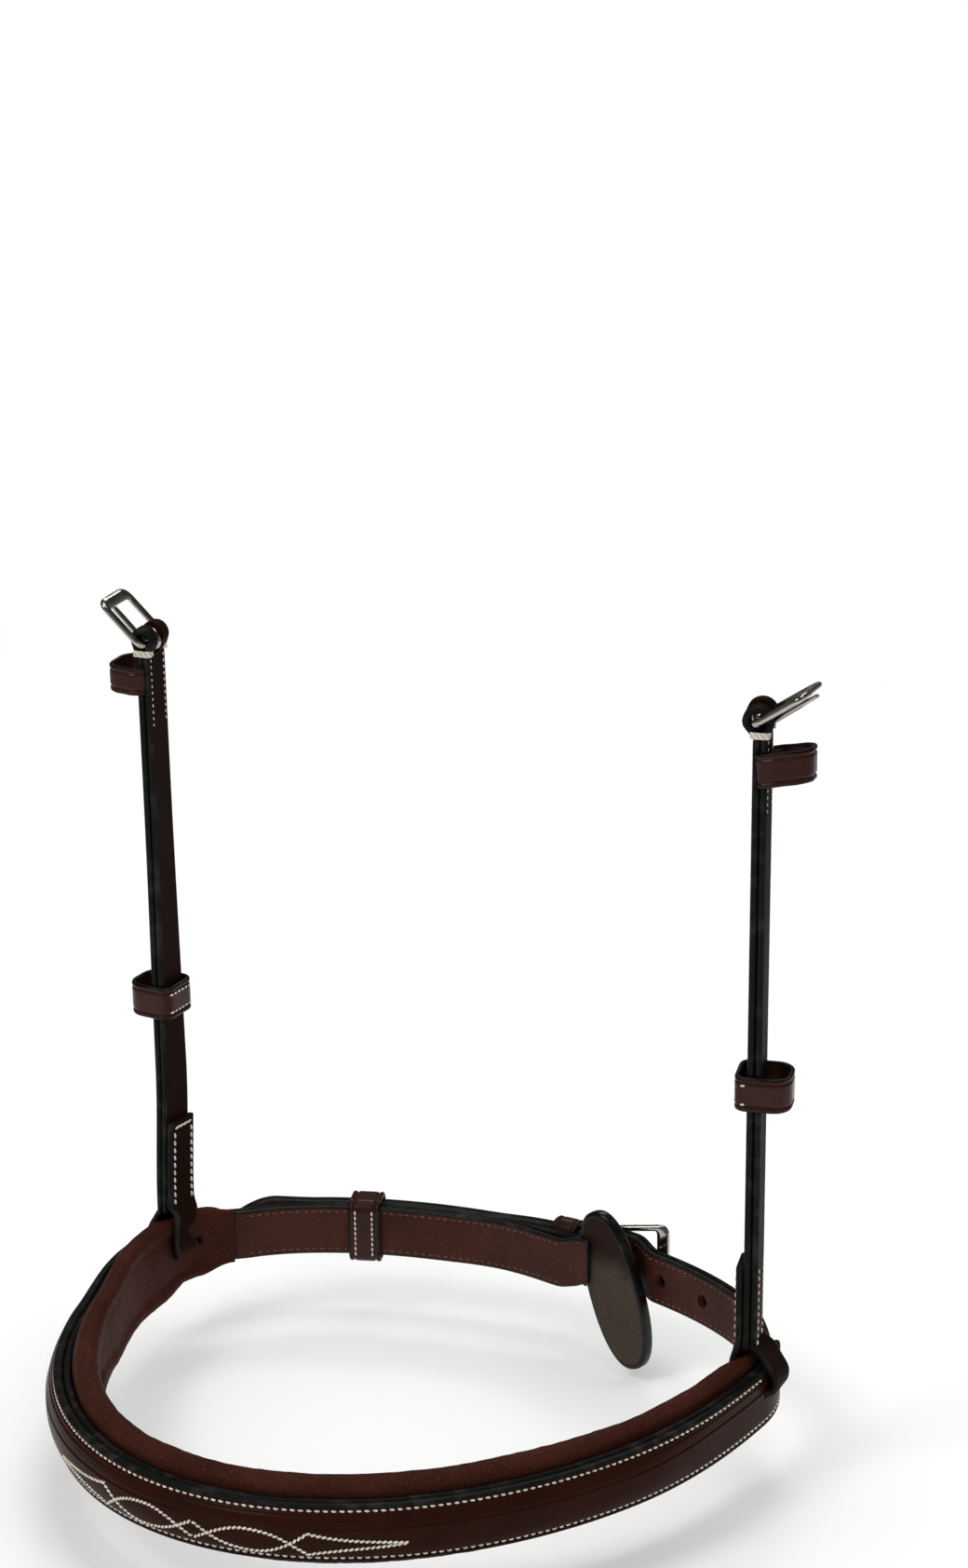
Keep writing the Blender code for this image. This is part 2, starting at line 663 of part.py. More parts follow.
def make_cheek(side, hand, bar, keeper_at, shift, turn, splay, tilt, tab, drop, room_out, climb, slack):
    """One cheek strap above its fold line, with its buckle and keepers."""
    stack_middle = cheek_fold_height - rise(cheek_arc)
    strap_out = (band_ply + face_end_ply - padding_cheek_depth) / 2 - cheek_ply
    seat = ring_frame(hand * cheek_arc, strap_out + shift, stack_middle)
    lean = Matrix.Rotation(hand * cheek_lean, 4, "X") @ Matrix.Rotation(splay, 4, "Y")
    pivot = empty_at(side + "_cheek_pivot", seat @ Matrix.Rotation(turn, 4, "Z") @ lean)
    layer = cheek_ply + clearance
    top = bar - cheek_fold_height
    front, behind = layer, 0.0
    bar_place = (front + behind) / 2
    radius = bar_radius + fold_play + cheek_ply / 2
    neck = radius * neck_share
    path = [(-layer, 0, tab)]
    path += circle_points((0, 0), layer, 180, 360, 8)
    path.append((front, 0, tab))
    path += [(out, 0, top + along) for out, along in
             fold_outline(-chape_length, -neck, bar_place, radius, front, behind)]
    strap = ribbon(side + "_cheek_strap", path, (0, 1, 0), cheek_width, cheek_ply, strap_leather, parent=pivot)
    reach_out = radius + cheek_ply
    slot = box_cutter(side + "_slot", (-reach_out, -slot_half_width, -radius * slot_share),
                      (reach_out, slot_half_width, reach_out), Matrix())
    slot.parent = pivot
    slot.location = (bar_place, 0, top)
    cut(strap, slot)
    lining = [(0, 0, clearance), (0, 0, top - chape_length - clearance)]
    ribbon(side + "_cheek_lining", lining, (0, 1, 0), cheek_width, cheek_ply, strap_leather, parent=pivot)

    strap_face = layer + cheek_ply / 2
    room = cheek_width + 2 * keeper_margin
    holder = empty_at(side + "_upper_keeper_seat", Matrix.Translation((0, 0, top - drop)), pivot)
    sewn_keeper(side + "_upper_keeper", sewn_keeper_back, strap_face + room_out, room, keeper_height,
                keeper_leather, holder, climb)
    slider = empty_at(side + "_lower_keeper_slide",
                      Matrix.Translation((0, 0, keeper_at - cheek_fold_height)), pivot)
    inner = (-cheek_ply / 2 - keeper_margin - slack, strap_face + lower_keeper_depth)
    keeper(side + "_lower_keeper", inner, room, lower_keeper_height, keeper_leather, slider)

    hinge = empty_at(side + "_buckle_pivot",
                     Matrix.Translation((bar_place, 0, top)) @ Matrix.Rotation(tilt, 4, "Y"), pivot)
    buckle_frame(side + "_buckle_frame", hinge, cheek_width, cheek_buckle_length, buckle_steel)
    wrap = bar_radius + clearance + tongue_radius
    rest = end_half_thickness + clearance + tongue_radius
    prong = circle_points((0, 0), wrap, -250, 0, 12)
    prong += [(wrap, 0, cheek_buckle_length * lift_share), (rest, 0, cheek_buckle_length * rest_share),
              (rest, 0, cheek_buckle_length), (rest, 0, cheek_buckle_length + tongue_overhang)]
    tube(side + "_buckle_tongue", prong, tongue_radius, buckle_steel, hinge)


def make_back_buckle():
    seat = ring_frame(buckle_arc, bar_out, band_height / 2)
    raised = Matrix.Translation((0, 0, back_frame_up))
    # X outwards, Y up the bar, Z towards the outer bar
    turned = Matrix(((1, 0, 0, 0), (0, 0, -1, 0), (0, 1, 0, 0), (0, 0, 0, 1)))
    level = empty_at("back_tongue_pivot", seat @ turned)
    hinge = empty_at("back_buckle_pivot", raised @ seat @ turned @ Matrix.Rotation(back_buckle_tilt, 4, "Y"))
    buckle_frame("back_buckle_frame", hinge, back_frame_room, back_buckle_length, buckle_steel,
                 back_frame_skew)
    wrap = bar_radius + clearance + tongue_radius
    end_out = back_buckle_length * math.sin(back_buckle_tilt)
    end_out += end_half_thickness + 2 * clearance + tongue_radius
    end_along = back_buckle_length * math.cos(back_buckle_tilt)
    prong = circle_points((0, 0), wrap, 340, 90, 12)
    prong += [(back_tongue_reach - back_tongue_bend, 0, wrap)]
    prong += [(back_tongue_reach, 0, wrap + back_tongue_bend),
              (back_tongue_reach, 0, wrap + 3 * back_tongue_bend),
              (end_out, 0, end_along - end_half_width / 2),
              (end_out, 0, end_along + tongue_overhang)]
    tube("back_buckle_tongue", prong, tongue_radius, buckle_steel, level)


def make_back_keepers():
    """Small sewn keeper that holds the billet, and the big loose one round both straps."""
    quarter = Matrix.Rotation(math.pi / 2, 4, "X")
    small_arc = buckle_arc + small_keeper_after
    seat = ring_frame(small_arc, 0, band_height / 2) @ quarter
    holder = empty_at("back_fixed_keeper_seat", seat)
    low = back_ply + clearance + keeper_ply
    inner = (low, billet_shift(small_arc) + back_ply + back_keeper_margin)
    keeper("back_fixed_keeper", inner, back_height + 2 * back_keeper_margin, small_keeper_height,
           keeper_leather, holder, keeper_corner)
    loose_arc = ring_length - back_keeper_arc
    slide = empty_at("back_loose_keeper_slide", ring_frame(loose_arc, 0, band_height / 2) @ quarter)
    inner = (-clearance - back_ply - back_keeper_margin, billet_lay + back_ply + back_keeper_margin)
    keeper("back_loose_keeper", inner, back_height + 2 * back_keeper_margin, back_keeper_height,
           keeper_leather, slide, keeper_corner)


make_padding()
ring_strap("band_strap", -splice, splice, 0, band_ply, strap_leather, plain=True)
make_filler()
make_face()
make_back_straps()
make_billet()
make_flap()
make_back_buckle()
make_back_keepers()
for side, facts in sides.items():
    make_cheek_loop(side, facts["hand"])
    make_cheek(side, *facts.values())
bpy.context.view_layer.update()
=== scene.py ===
import math

import bmesh
import bpy
import numpy as np
from mathutils import Matrix, Vector


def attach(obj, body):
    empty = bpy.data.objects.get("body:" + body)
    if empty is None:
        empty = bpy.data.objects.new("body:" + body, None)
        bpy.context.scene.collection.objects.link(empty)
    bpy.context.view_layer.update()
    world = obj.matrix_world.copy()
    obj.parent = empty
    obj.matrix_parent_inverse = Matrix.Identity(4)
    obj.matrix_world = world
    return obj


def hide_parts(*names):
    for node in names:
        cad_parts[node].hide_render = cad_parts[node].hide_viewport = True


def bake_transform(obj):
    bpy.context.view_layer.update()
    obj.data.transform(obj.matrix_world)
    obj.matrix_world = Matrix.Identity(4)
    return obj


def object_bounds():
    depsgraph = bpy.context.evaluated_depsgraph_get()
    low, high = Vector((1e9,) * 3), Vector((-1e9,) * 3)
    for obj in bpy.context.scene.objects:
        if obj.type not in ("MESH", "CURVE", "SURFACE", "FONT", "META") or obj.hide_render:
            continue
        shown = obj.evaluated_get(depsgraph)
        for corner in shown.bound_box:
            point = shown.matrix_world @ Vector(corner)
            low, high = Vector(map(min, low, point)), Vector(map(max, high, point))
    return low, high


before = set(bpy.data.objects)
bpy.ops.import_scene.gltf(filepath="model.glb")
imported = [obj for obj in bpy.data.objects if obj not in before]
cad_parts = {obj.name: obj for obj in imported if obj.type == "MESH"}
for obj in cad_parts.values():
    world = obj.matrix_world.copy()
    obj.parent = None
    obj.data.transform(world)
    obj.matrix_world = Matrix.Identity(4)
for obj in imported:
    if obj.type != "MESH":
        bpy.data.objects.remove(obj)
cadLow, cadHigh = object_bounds()

# Hunter noseband: shapes are worked out in millimetres and scaled to metres when a mesh is made.
# A place on the band is (arc, out, up): the distance round from the middle of the nose towards
# the near side, the distance outwards from the padding's outer face, and the height.
mm = 0.001


# Small maths

def ease(value, start, length):
    # 0 before start, 1 past start + length, and 3s² - 2s³ between them
    share = np.clip((np.asarray(value, float) - start) / length, 0, 1)
    return share * share * (3 - 2 * share)


def unit(vectors):
    return vectors / np.linalg.norm(vectors, axis=-1, keepdims=True)


def angles(start, end, count):
    return np.radians(np.linspace(start, end, count))


def distances(path):
    # The distance along a path to each of its points
    return np.concatenate(([0], np.cumsum(np.linalg.norm(np.diff(path, axis=0), axis=1))))


def between(at, run, table):
    # The table's rows at places on run, by straight lines between them
    return np.stack([np.interp(at, run, column) for column in table.T], -1)


def runOf(path, closed=False):
    # The direction of travel at each point
    return unit(np.roll(path, -1, 0) - np.roll(path, 1, 0) if closed else np.gradient(path, axis=0))


def groove(value, centre, width, deep):
    # A rounded furrow: -deep times a bell curve about centre
    return -deep * np.exp(-((value - centre) / width) ** 2)


def lattice(points, seed):
    # A repeatable number from 0 to 1 for each whole-numbered place, by multiplying and folding bits
    n = points.astype(np.int64)
    mixed = n[..., 0] * 73856093 ^ n[..., 1] * 19349663 ^ n[..., 2] * 83492791 ^ seed * 2654435761
    mixed = (mixed ^ (mixed >> 13)) * 1274126177 & 0x7FFFFFFF
    return (mixed ^ (mixed >> 16)) % 65536 / 65535.0


def cloud(points, size, seed):
    # Value noise from -1 to 1: the lattice's numbers blended by smooth steps within each cell
    scaled = points / size
    cell = np.floor(scaled)
    t = ease(scaled - cell, 0, 1)
    total = np.zeros(points.shape[:-1])
    for corner in np.ndindex(2, 2, 2):
        weight = np.prod(np.where(np.array(corner) == 1, t, 1 - t), axis=-1)
        total += weight * lattice(cell + np.array(corner), seed)
    return 2 * total - 1


# The ring's plan: two half ellipses of one width, sampled once by the distance round

ring = {
    "halfWidth": 115.9, "noseReach": 156.0, "jawReach": 65.3, "samples": 2881,
    "backRise": 2.5, "backClimb": (150.0, 110.0),
    "billetRise": 3.7, "billetClimb": (234.0, 28.0), "billetFall": (334.0, 17.0),
    "sway": (3.2, 1.2), "swayClimb": (150.0, 42.0), "swayFall": (222.0, 26.0),
}
turns = np.linspace(-math.pi, math.pi, ring["samples"])
reach = np.where(np.abs(turns) <= math.pi / 2, ring["noseReach"], ring["jawReach"])
ringXy = np.stack((ring["halfWidth"] * np.sin(turns), -reach * np.cos(turns)), 1)
ringRun = unit(np.stack((ring["halfWidth"] * np.cos(turns), reach * np.sin(turns)), 1))
ringArc = distances(ringXy)
ringLength = ringArc[-1]
ringArc -= ringLength / 2


def wrapped(arc):
    return (np.asarray(arc, float) + ringLength / 2) % ringLength - ringLength / 2


def rise(arc):
    # How much higher the band lies than at the nose
    arc = wrapped(arc)
    billet = ease(arc, *ring["billetClimb"]) - ease(arc, *ring["billetFall"])
    return ring["backRise"] * ease(np.abs(arc), *ring["backClimb"]) + ring["billetRise"] * billet


def sway(arc):
    # How far the far cheek's part of the band hangs out and up from where the solids show it
    arc = wrapped(arc)
    share = ease(-arc, *ring["swayClimb"]) * (1 - ease(-arc, *ring["swayFall"]))
    return [amount * share for amount in ring["sway"]]


def bandRun(arc):
    # The direction round the band, flat in the plan
    run = unit(between(wrapped(arc), ringArc, ringRun))
    return np.concatenate((run, np.zeros(run.shape[:-1] + (1,))), -1)


def bandOut(arc):
    # The outward direction, square to the run
    return bandRun(arc)[..., [1, 0, 2]] * (1, -1, 1)


def onBand(arc, out, up):
    # The ring's point at arc, plus out along the outward direction and up plus the band's rise
    arc, out, up = np.broadcast_arrays(np.asarray(arc, float), out, up)
    over, above = sway(arc)
    spot = between(wrapped(arc), ringArc, ringXy)
    place = np.concatenate((spot, (rise(arc) + up + above)[..., None]), -1)
    return place + bandOut(arc) * (out + over)[..., None]


# Mesh makers

def addObject(name, data):
    made = bpy.data.objects.new(name, data)
    bpy.context.scene.collection.objects.link(made)
    return made


def makeObject(name, verts, faces, finish, edge=None, uv=None, sharp=48.0):
    # finish is a material and the slot of the part that wears it
    mesh = bpy.data.meshes.new(name)
    mesh.from_pydata((np.asarray(verts) * mm).tolist(), [], faces)
    if uv is not None:
        corners = np.zeros((len(mesh.loops), 2), np.float32)
        corners[:len(uv)] = uv
        mesh.uv_layers.new(name="UVMap").data.foreach_set("uv", corners.ravel())
    if edge is not None:
        layer = mesh.attributes.new("edge", "FLOAT", "POINT")
        layer.data.foreach_set("value", np.asarray(edge, np.float32).ravel())
    mesh.shade_smooth()
    mesh.set_sharp_from_angle(angle=math.radians(sharp))
    mesh.materials.append(finish[0])
    thing = addObject(name, mesh)
    return thing


def gridFaces(rows, columns, closed=False):
    # Quads between neighbours of a grid whose columns close on themselves, and its rows if closed
    i, j = np.meshgrid(np.arange(rows if closed else rows - 1), np.arange(columns), indexing="ij")
    i2, j2 = (i + 1) % rows, (j + 1) % columns
    quads = np.stack((i * columns + j, i * columns + j2, i2 * columns + j2, i2 * columns + j), -1)
    return quads.reshape(-1, 4)


def facesOf(quads, first, last, flip):
    # Sides, first ends and last ends as one list, all turned outwards
    way = slice(None, None, -1 if flip else 1)
    return quads[:, way].tolist() + first[:, way][:, ::-1].tolist() + last[:, way].tolist()


def turnedIn(verts, quads):
    # Whether the volume inside the quads, seen from their middle, comes out negative
    verts = verts - verts.mean(0)
    a, b, c, d = (verts[quads[:, k]] for k in range(4))
    return np.einsum("ij,ij->", a, np.cross(b, c) + np.cross(c, d)) < 0


def skin(name, grid, finish, closed=False, edge=None, sharp=48.0):
    # A closed profile carried along a path: grid[row, point]. Open paths get a face on each end.
    rows, columns = grid.shape[:2]
    verts = grid.reshape(-1, 3)
    quads = gridFaces(rows, columns, closed)
    middle = grid.mean(1)
    along = distances(np.concatenate((middle, middle[:1])))
    across = distances(np.concatenate((grid[0], grid[0][:1])))
    row, column = quads[:, 0] // columns, quads[:, 0] % columns
    corners = ((0, 0), (0, 1), (1, 1), (1, 0))
    uv = np.stack([np.stack((along[row + a], across[column + b]), -1) for a, b in corners], 1)
    flip = turnedIn(verts, quads)
    if flip:
        uv = uv[:, ::-1]
    first = np.arange(columns)[None][:0 if closed else 1]
    faces = facesOf(quads, first, first + (rows - 1) * columns, flip)
    marks = None if edge is None else np.broadcast_to(edge, (rows, columns))
    return makeObject(name, verts, faces, finish, marks, uv.reshape(-1, 2) * mm, sharp)


def strapProfile(width, ply, front=(), back=(), step=0.45, roundness=0.42):
    # A strap's section: flat faces and half-round edges. front and back list furrows as
    # (place across, width, depth). Gives places across and through, and 1 on the edges.
    w, t = width / 2, ply / 2
    nose = ply * roundness
    flat = np.linspace(-(w - nose), w - nose, max(6, int((width - 2 * nose) / step)))
    angle = angles(90, -90, 9)[1:-1]
    edgeA, edgeT = (w - nose) + nose * np.cos(angle), t * np.sin(angle)
    top = t + sum(groove(flat, *furrow) for furrow in front) + 0 * flat
    low = -t - sum(groove(flat, *furrow) for furrow in back) + 0 * flat
    a = np.concatenate((flat, edgeA, flat[::-1], -edgeA[::-1]))
    b = np.concatenate((top, edgeT, low[::-1], edgeT[::-1]))
    fade = np.clip((np.abs(flat) - (w - nose - 0.5)) / 0.5, 0, 1) * 0.6
    ones = np.ones(edgeA.shape)
    return a, b, np.concatenate((fade, ones, fade[::-1], ones))


def smoothPath(knots, step):
    # A Catmull-Rom curve through the knots, resampled at an even step
    knots = np.asarray(knots, float)
    padded = np.concatenate((2 * knots[:1] - knots[1:2], knots, 2 * knots[-1:] - knots[-2:-1]))
    u = np.linspace(0, 1, 16, endpoint=False)[:, None]
    pieces = []
    for i in range(len(knots) - 1):
        p0, p1, p2, p3 = padded[i:i + 4]
        pieces.append(0.5 * (2 * p1 + (p2 - p0) * u + (2 * p0 - 5 * p1 + 4 * p2 - p3) * u * u
                             + (3 * p1 - p0 - 3 * p2 + p3) * u ** 3))
    fine = np.concatenate(pieces + [knots[-1:]])
    run = distances(fine[:, :3])
    count = max(2, int(round(run[-1] / step)) + 1)
    return between(np.linspace(0, run[-1], count), run, fine)


def ribbonGrid(path, across, a, b, scaleA=1.0, scaleB=1.0, closed=False):
    # A profile, a across and b through, set square on each point of a path
    run = runOf(path, closed)
    across = np.broadcast_to(across, path.shape)
    across = unit(across - run * np.einsum("ij,ij->i", across, run)[:, None])
    through = np.cross(run, across)
    wide, thick = (np.broadcast_to(scale, (len(path),))[:, None, None] for scale in (scaleA, scaleB))
    return path[:, None] + across[:, None] * a[:, None] * wide + through[:, None] * b[:, None] * thick


def roundedEnds(count, step, reach, least=0.6):
    # A factor along a strap of count rows that draws its thickness in over the last reach mm
    place = np.minimum(np.arange(count), np.arange(count)[::-1]) * step
    share = np.clip(place / reach, 0, 1)
    return least + (1 - least) * np.sqrt(1 - (1 - share) ** 2)


stitchSides = 6
stitchAlong = np.array([-0.5, -0.38, -0.15, 0.15, 0.38, 0.5])
stitchRadius = np.array([0.25, 0.8, 1.0, 1.0, 0.8, 0.25])
stitchDip = np.array([-1.0, -0.25, 0.0, 0.0, -0.25, -1.0])


def sew(name, centres, runs, normals, finish, length=2.0, thick=0.42, slant=0.0, sink=0.1):
    # A stitch is a short cord that thins to both ends, where it dips into the leather. One is copied to
    # every place: length along the run, turned by slant about the normal.
    turn = np.linspace(0, 2 * math.pi, stitchSides, endpoint=False)
    x, y, z = (part.reshape(-1, 1) for part in np.broadcast_arrays(
        stitchAlong[:, None] * length, stitchRadius[:, None] * np.cos(turn) * thick,
        (stitchRadius[:, None] * np.sin(turn) + stitchDip[:, None]) * thick))
    quads = gridFaces(len(stitchAlong), stitchSides)
    runs, normals = unit(np.asarray(runs)), unit(np.asarray(normals))
    turned = runs * math.cos(slant) + np.cross(normals, runs) * math.sin(slant)
    verts = (np.asarray(centres) - normals * sink)[:, None] + turned[:, None] * x
    verts = verts + np.cross(normals, turned)[:, None] * y + normals[:, None] * z
    offsets = (np.arange(len(verts)) * len(x))[:, None]
    first = np.arange(stitchSides) + offsets
    last = first + (len(stitchAlong) - 1) * stitchSides
    faces = facesOf((quads + offsets[..., None]).reshape(-1, 4), first, last, turnedIn(verts[0], quads))
    return makeObject(name, verts.reshape(-1, 3), faces, finish, sharp=80.0)


def tube(name, path, radii, finish, sides=14):
    # A round wire along a path, whose radius may change
    run = runOf(path)
    normal = np.zeros_like(path)
    guess = np.array([0.0, 0.0, 1.0]) if abs(run[0, 2]) < 0.9 else np.array([1.0, 0.0, 0.0])
    for i in range(len(path)):
        guess = unit(guess - run[i] * guess.dot(run[i]))
        normal[i] = guess
    turn = np.linspace(0, 2 * math.pi, sides, endpoint=False)[:, None]
    circle = normal[:, None] * np.cos(turn) + np.cross(run, normal)[:, None] * np.sin(turn)
    radii = np.broadcast_to(radii, (len(path),))[:, None, None]
    return skin(name, path[:, None] + circle * radii, finish, sharp=60.0)


def cutWith(thing, shape):
    # Cuts the shape out of a piece and keeps the result
    mesh = bpy.data.meshes.new("cutter")
    shape.to_mesh(mesh)
    shape.free()
    cutter = addObject("cutter", mesh)
    boolean = thing.modifiers.new("cut", "BOOLEAN")
    boolean.operation, boolean.solver, boolean.object = "DIFFERENCE", "EXACT", cutter
    bpy.context.view_layer.update()
    done = bpy.data.meshes.new_from_object(thing.evaluated_get(bpy.context.evaluated_depsgraph_get()))
    thing.modifiers.clear()
    thing.data = done
    bpy.data.objects.remove(cutter)
    done.set_sharp_from_angle(angle=math.radians(48))


def cutOut(thing, low, high, matrix):
    # Cuts out a box, given in mm in matrix's frame
    shape = bmesh.new()
    size, middle = Vector(high) - Vector(low), (Vector(high) + Vector(low)) / 2
    place = matrix @ Matrix.Translation(middle * mm) @ Matrix.Diagonal((*(size * mm), 1))
    bmesh.ops.create_cube(shape, size=1, matrix=place)
    cutWith(thing, shape)


def bandFrame(arc, out=0.0, up=0.0, scale=mm):
    # A matrix on the band, in metres or with scale 1 in mm: X outwards, Y round the band, Z up
    axes = Matrix((Vector(bandOut(arc)), Vector(bandRun(arc)), Vector((0, 0, 1)))).transposed()
    return Matrix.Translation(Vector(onBand(arc, out, up) * scale)) @ axes.to_4x4()


def toWorld(matrix, points):
    matrix = np.array(matrix)
    return np.asarray(points) @ matrix[:3, :3].T + matrix[:3, 3]


def settle(piece, body, *nodes):
    # Puts a piece on its body, in place of the CAD nodes that it stands for
    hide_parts(*nodes)
    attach(piece, body)


# Materials

def srgb(red, green, blue):
    parts = [v / 255 for v in (red, green, blue)]
    return (*[v / 12.92 if v <= 0.04045 else ((v + 0.055) / 1.055) ** 2.4 for v in parts], 1)


def feed(tree, target, inputs):
    # Fills a node's inputs: a socket is linked, anything else is the input's own value
    for key, value in inputs.items():
        if isinstance(value, bpy.types.NodeSocket):
            tree.links.new(value, target.inputs[key])
        else:
            target.inputs[key].default_value = value


def node(tree, kind, inputs=None, **settings):
    made = tree.nodes.new("ShaderNode" + kind)
    for key, value in settings.items():
        setattr(made, key, value)
    feed(tree, made, inputs or {})
    return made


def newGroup(name, inputs, outputs):
    tree = bpy.data.node_groups.new(name, "ShaderNodeTree")
    for label, kind, value in inputs:
        socket = tree.interface.new_socket(name=label, in_out="INPUT", socket_type="NodeSocket" + kind)
        if value is not None:
            socket.default_value = value
    for label, kind in outputs:
        tree.interface.new_socket(name=label, in_out="OUTPUT", socket_type="NodeSocket" + kind)
    start = tree.nodes.new("NodeGroupInput")
    return tree, start.outputs[:len(inputs)], tree.nodes.new("NodeGroupOutput")


def mix(tree, factor, a, b):
    return node(tree, "Mix", {0: factor, 6: a, 7: b}, data_type="RGBA").outputs[2]


def math2(tree, operation, a, b, c=0.0):
    return node(tree, "Math", {0: a, 1: b, 2: c}, operation=operation).outputs[0]


def spread(tree, value, low, high, newLow=0.0, newHigh=1.0):
    return node(tree, "MapRange", {0: value, 1: low, 2: high, 3: newLow, 4: newHigh}).outputs[0]


def noise(tree, place, scale, detail, roughness=0.5, output="Fac"):
    inputs = {"Vector": place, "Scale": scale, "Detail": detail, "Roughness": roughness}
    return node(tree, "TexNoise", inputs).outputs[output]


def makeGrainGroup():
    # Leather grain: small cells with soft furrows between them, over broad soft folds
    tree, (place, cells, cellDepth, folds, foldDepth), end = newGroup("leatherGrain", (
        ("Vector", "Vector", None), ("Cells", "Float", 900.0), ("Cell Depth", "Float", 0.5),
        ("Folds", "Float", 90.0), ("Fold Depth", "Float", 0.5)), (("Height", "Float"), ("Tone", "Float")))
    warp = noise(tree, place, 400.0, 2.0, output="Color")
    bent = node(tree, "VectorMath", {0: warp, 1: (0.0008, 0.0008, 0.0008), 2: place},
                operation="MULTIPLY_ADD")
    pits = node(tree, "TexVoronoi", {"Vector": bent.outputs[0], "Scale": cells}, feature="DISTANCE_TO_EDGE")
    pits = spread(tree, pits.outputs["Distance"], 0.0, 0.28)
    high = math2(tree, "MULTIPLY", pits, cellDepth)
    high = math2(tree, "MULTIPLY_ADD", noise(tree, place, folds, 4.0), foldDepth, high)
    broad = math2(tree, "MULTIPLY", noise(tree, place, 35.0, 5.0, 0.6), 0.75)
    feed(tree, end, {"Height": high, "Tone": math2(tree, "MULTIPLY_ADD", pits, 0.25, broad)})
    return tree


def makeEdgeGroup():
    # Inked, burnished edges: the mark follows the edge attribute, with a broken border and rubbed spots
    tree, (place, face, ink, faceRough, inkRough, rub), end = newGroup("edgeInk", (
        ("Vector", "Vector", None), ("Face Color", "Color", None), ("Ink", "Color", None),
        ("Face Roughness", "Float", 0.4), ("Ink Roughness", "Float", 0.42), ("Rub", "Float", 0.35)),
        (("Color", "Color"), ("Roughness", "Float"), ("Mask", "Float")))
    mark = node(tree, "Attribute", attribute_name="edge").outputs["Fac"]
    broken = math2(tree, "MULTIPLY_ADD", noise(tree, place, 700.0, 3.0), 0.5, -0.25)
    mask = spread(tree, math2(tree, "ADD", mark, broken), 0.42, 0.72)
    rubbed = math2(tree, "MULTIPLY", spread(tree, noise(tree, place, 160.0, 4.0), 0.5, 0.75), rub)
    inked = mix(tree, rubbed, ink, mix(tree, 0.45, ink, (0.12, 0.115, 0.11, 1)))
    rough = node(tree, "Mix", {0: mask, 2: faceRough, 3: inkRough}, data_type="FLOAT").outputs[0]
    feed(tree, end, {"Color": mix(tree, mask, face, inked), "Roughness": rough, "Mask": mask})
    return tree


grainGroup = makeGrainGroup()
edgeGroup = makeEdgeGroup()


def newMaterial(name):
    made = bpy.data.materials.new(name)
    made.use_nodes = True
    tree = made.node_tree
    return made, tree, tree.nodes["Principled BSDF"], node(tree, "TexCoord").outputs["Object"]


def roughen(tree, shader, strength, distance, height):
    bumped = node(tree, "Bump", {"Strength": strength, "Distance": distance * mm, "Height": height})
    feed(tree, shader, {"Normal": bumped.outputs[0]})


plainLeather = {
    "ink": (22, 22, 21), "roughness": (0.34, 0.5), "inkRoughness": 0.4, "coat": 0.25, "edgeCoat": 0.12,
    "specular": 0.1, "cells": 1100.0, "cellDepth": 0.25, "folds": 120.0, "foldDepth": 0.6,
    "bump": 0.25, "bumpHeight": 0.12, "tint": None,
}


def leather(name, dark, light, **changes):
    # Grain between two colours, and inked edges. tint is painted shade: it darkens it unevenly over a
    # height: low, high, colour.
    f = {**plainLeather, **changes}
    made, tree, shader, place = newMaterial(name)
    grain = node(tree, "Group", {"Vector": place, "Cells": f["cells"], "Cell Depth": f["cellDepth"],
                                 "Folds": f["folds"], "Fold Depth": f["foldDepth"]}, node_tree=grainGroup)
    tone = grain.outputs["Tone"]
    colour = mix(tree, spread(tree, tone, 0.25, 0.8), srgb(*dark), srgb(*light))
    if f["tint"]:
        # Painted shade: the colour eases to the darker one between the low and high heights, with a little
        # noise in the level
        low, high, darker = f["tint"]
        level = node(tree, "SeparateXYZ", {"Vector": place}).outputs["Z"]
        level = math2(tree, "MULTIPLY_ADD", noise(tree, place, 60.0, 2.0), 10 * mm, level)
        colour = mix(tree, spread(tree, level, low * mm, high * mm), colour, srgb(*darker))
    rough = spread(tree, tone, 0.2, 0.8, f["roughness"][1], f["roughness"][0])
    edges = node(tree, "Group", {"Vector": place, "Face Color": colour, "Ink": srgb(*f["ink"]),
                                 "Face Roughness": rough, "Ink Roughness": f["inkRoughness"]},
                 node_tree=edgeGroup).outputs
    coat = spread(tree, edges["Mask"], 0.0, 1.0, f["coat"], f["edgeCoat"])
    feed(tree, shader, {"Base Color": edges["Color"], "Roughness": edges["Roughness"], "Coat Weight": coat,
                        "Coat Roughness": 0.25, "Specular IOR Level": f["specular"]})
    roughen(tree, shader, f["bump"], f["bumpHeight"], grain.outputs["Height"])
    return made


def steel():
    made, tree, shader, place = newMaterial("polishedSteel")
    smear = noise(tree, place, 220.0, 5.0)
    feed(tree, shader, {"Base Color": mix(tree, smear, srgb(168, 164, 156), srgb(190, 186, 178)),
                        "Roughness": spread(tree, smear, 0.3, 0.75, 0.10, 0.24), "Metallic": 1.0})
    roughen(tree, shader, 0.08, 0.05, noise(tree, place, 1500.0, 2.0))
    return made


def thread(name, dark, light):
    # Waxed linen: fine slanted bands for the lay of the cord
    made, tree, shader, place = newMaterial(name)
    lay = node(tree, "TexWave", {"Vector": place, "Scale": 260.0, "Distortion": 2.0},
               bands_direction="DIAGONAL").outputs["Fac"]
    soil = math2(tree, "MULTIPLY", noise(tree, place, 140.0, 3.0), 0.6)
    shade = spread(tree, math2(tree, "MULTIPLY_ADD", lay, 0.35, soil), 0.2, 0.75)
    feed(tree, shader, {"Base Color": mix(tree, shade, srgb(*dark), srgb(*light)), "Roughness": 0.72})
    roughen(tree, shader, 0.4, 0.1, lay)
    return made


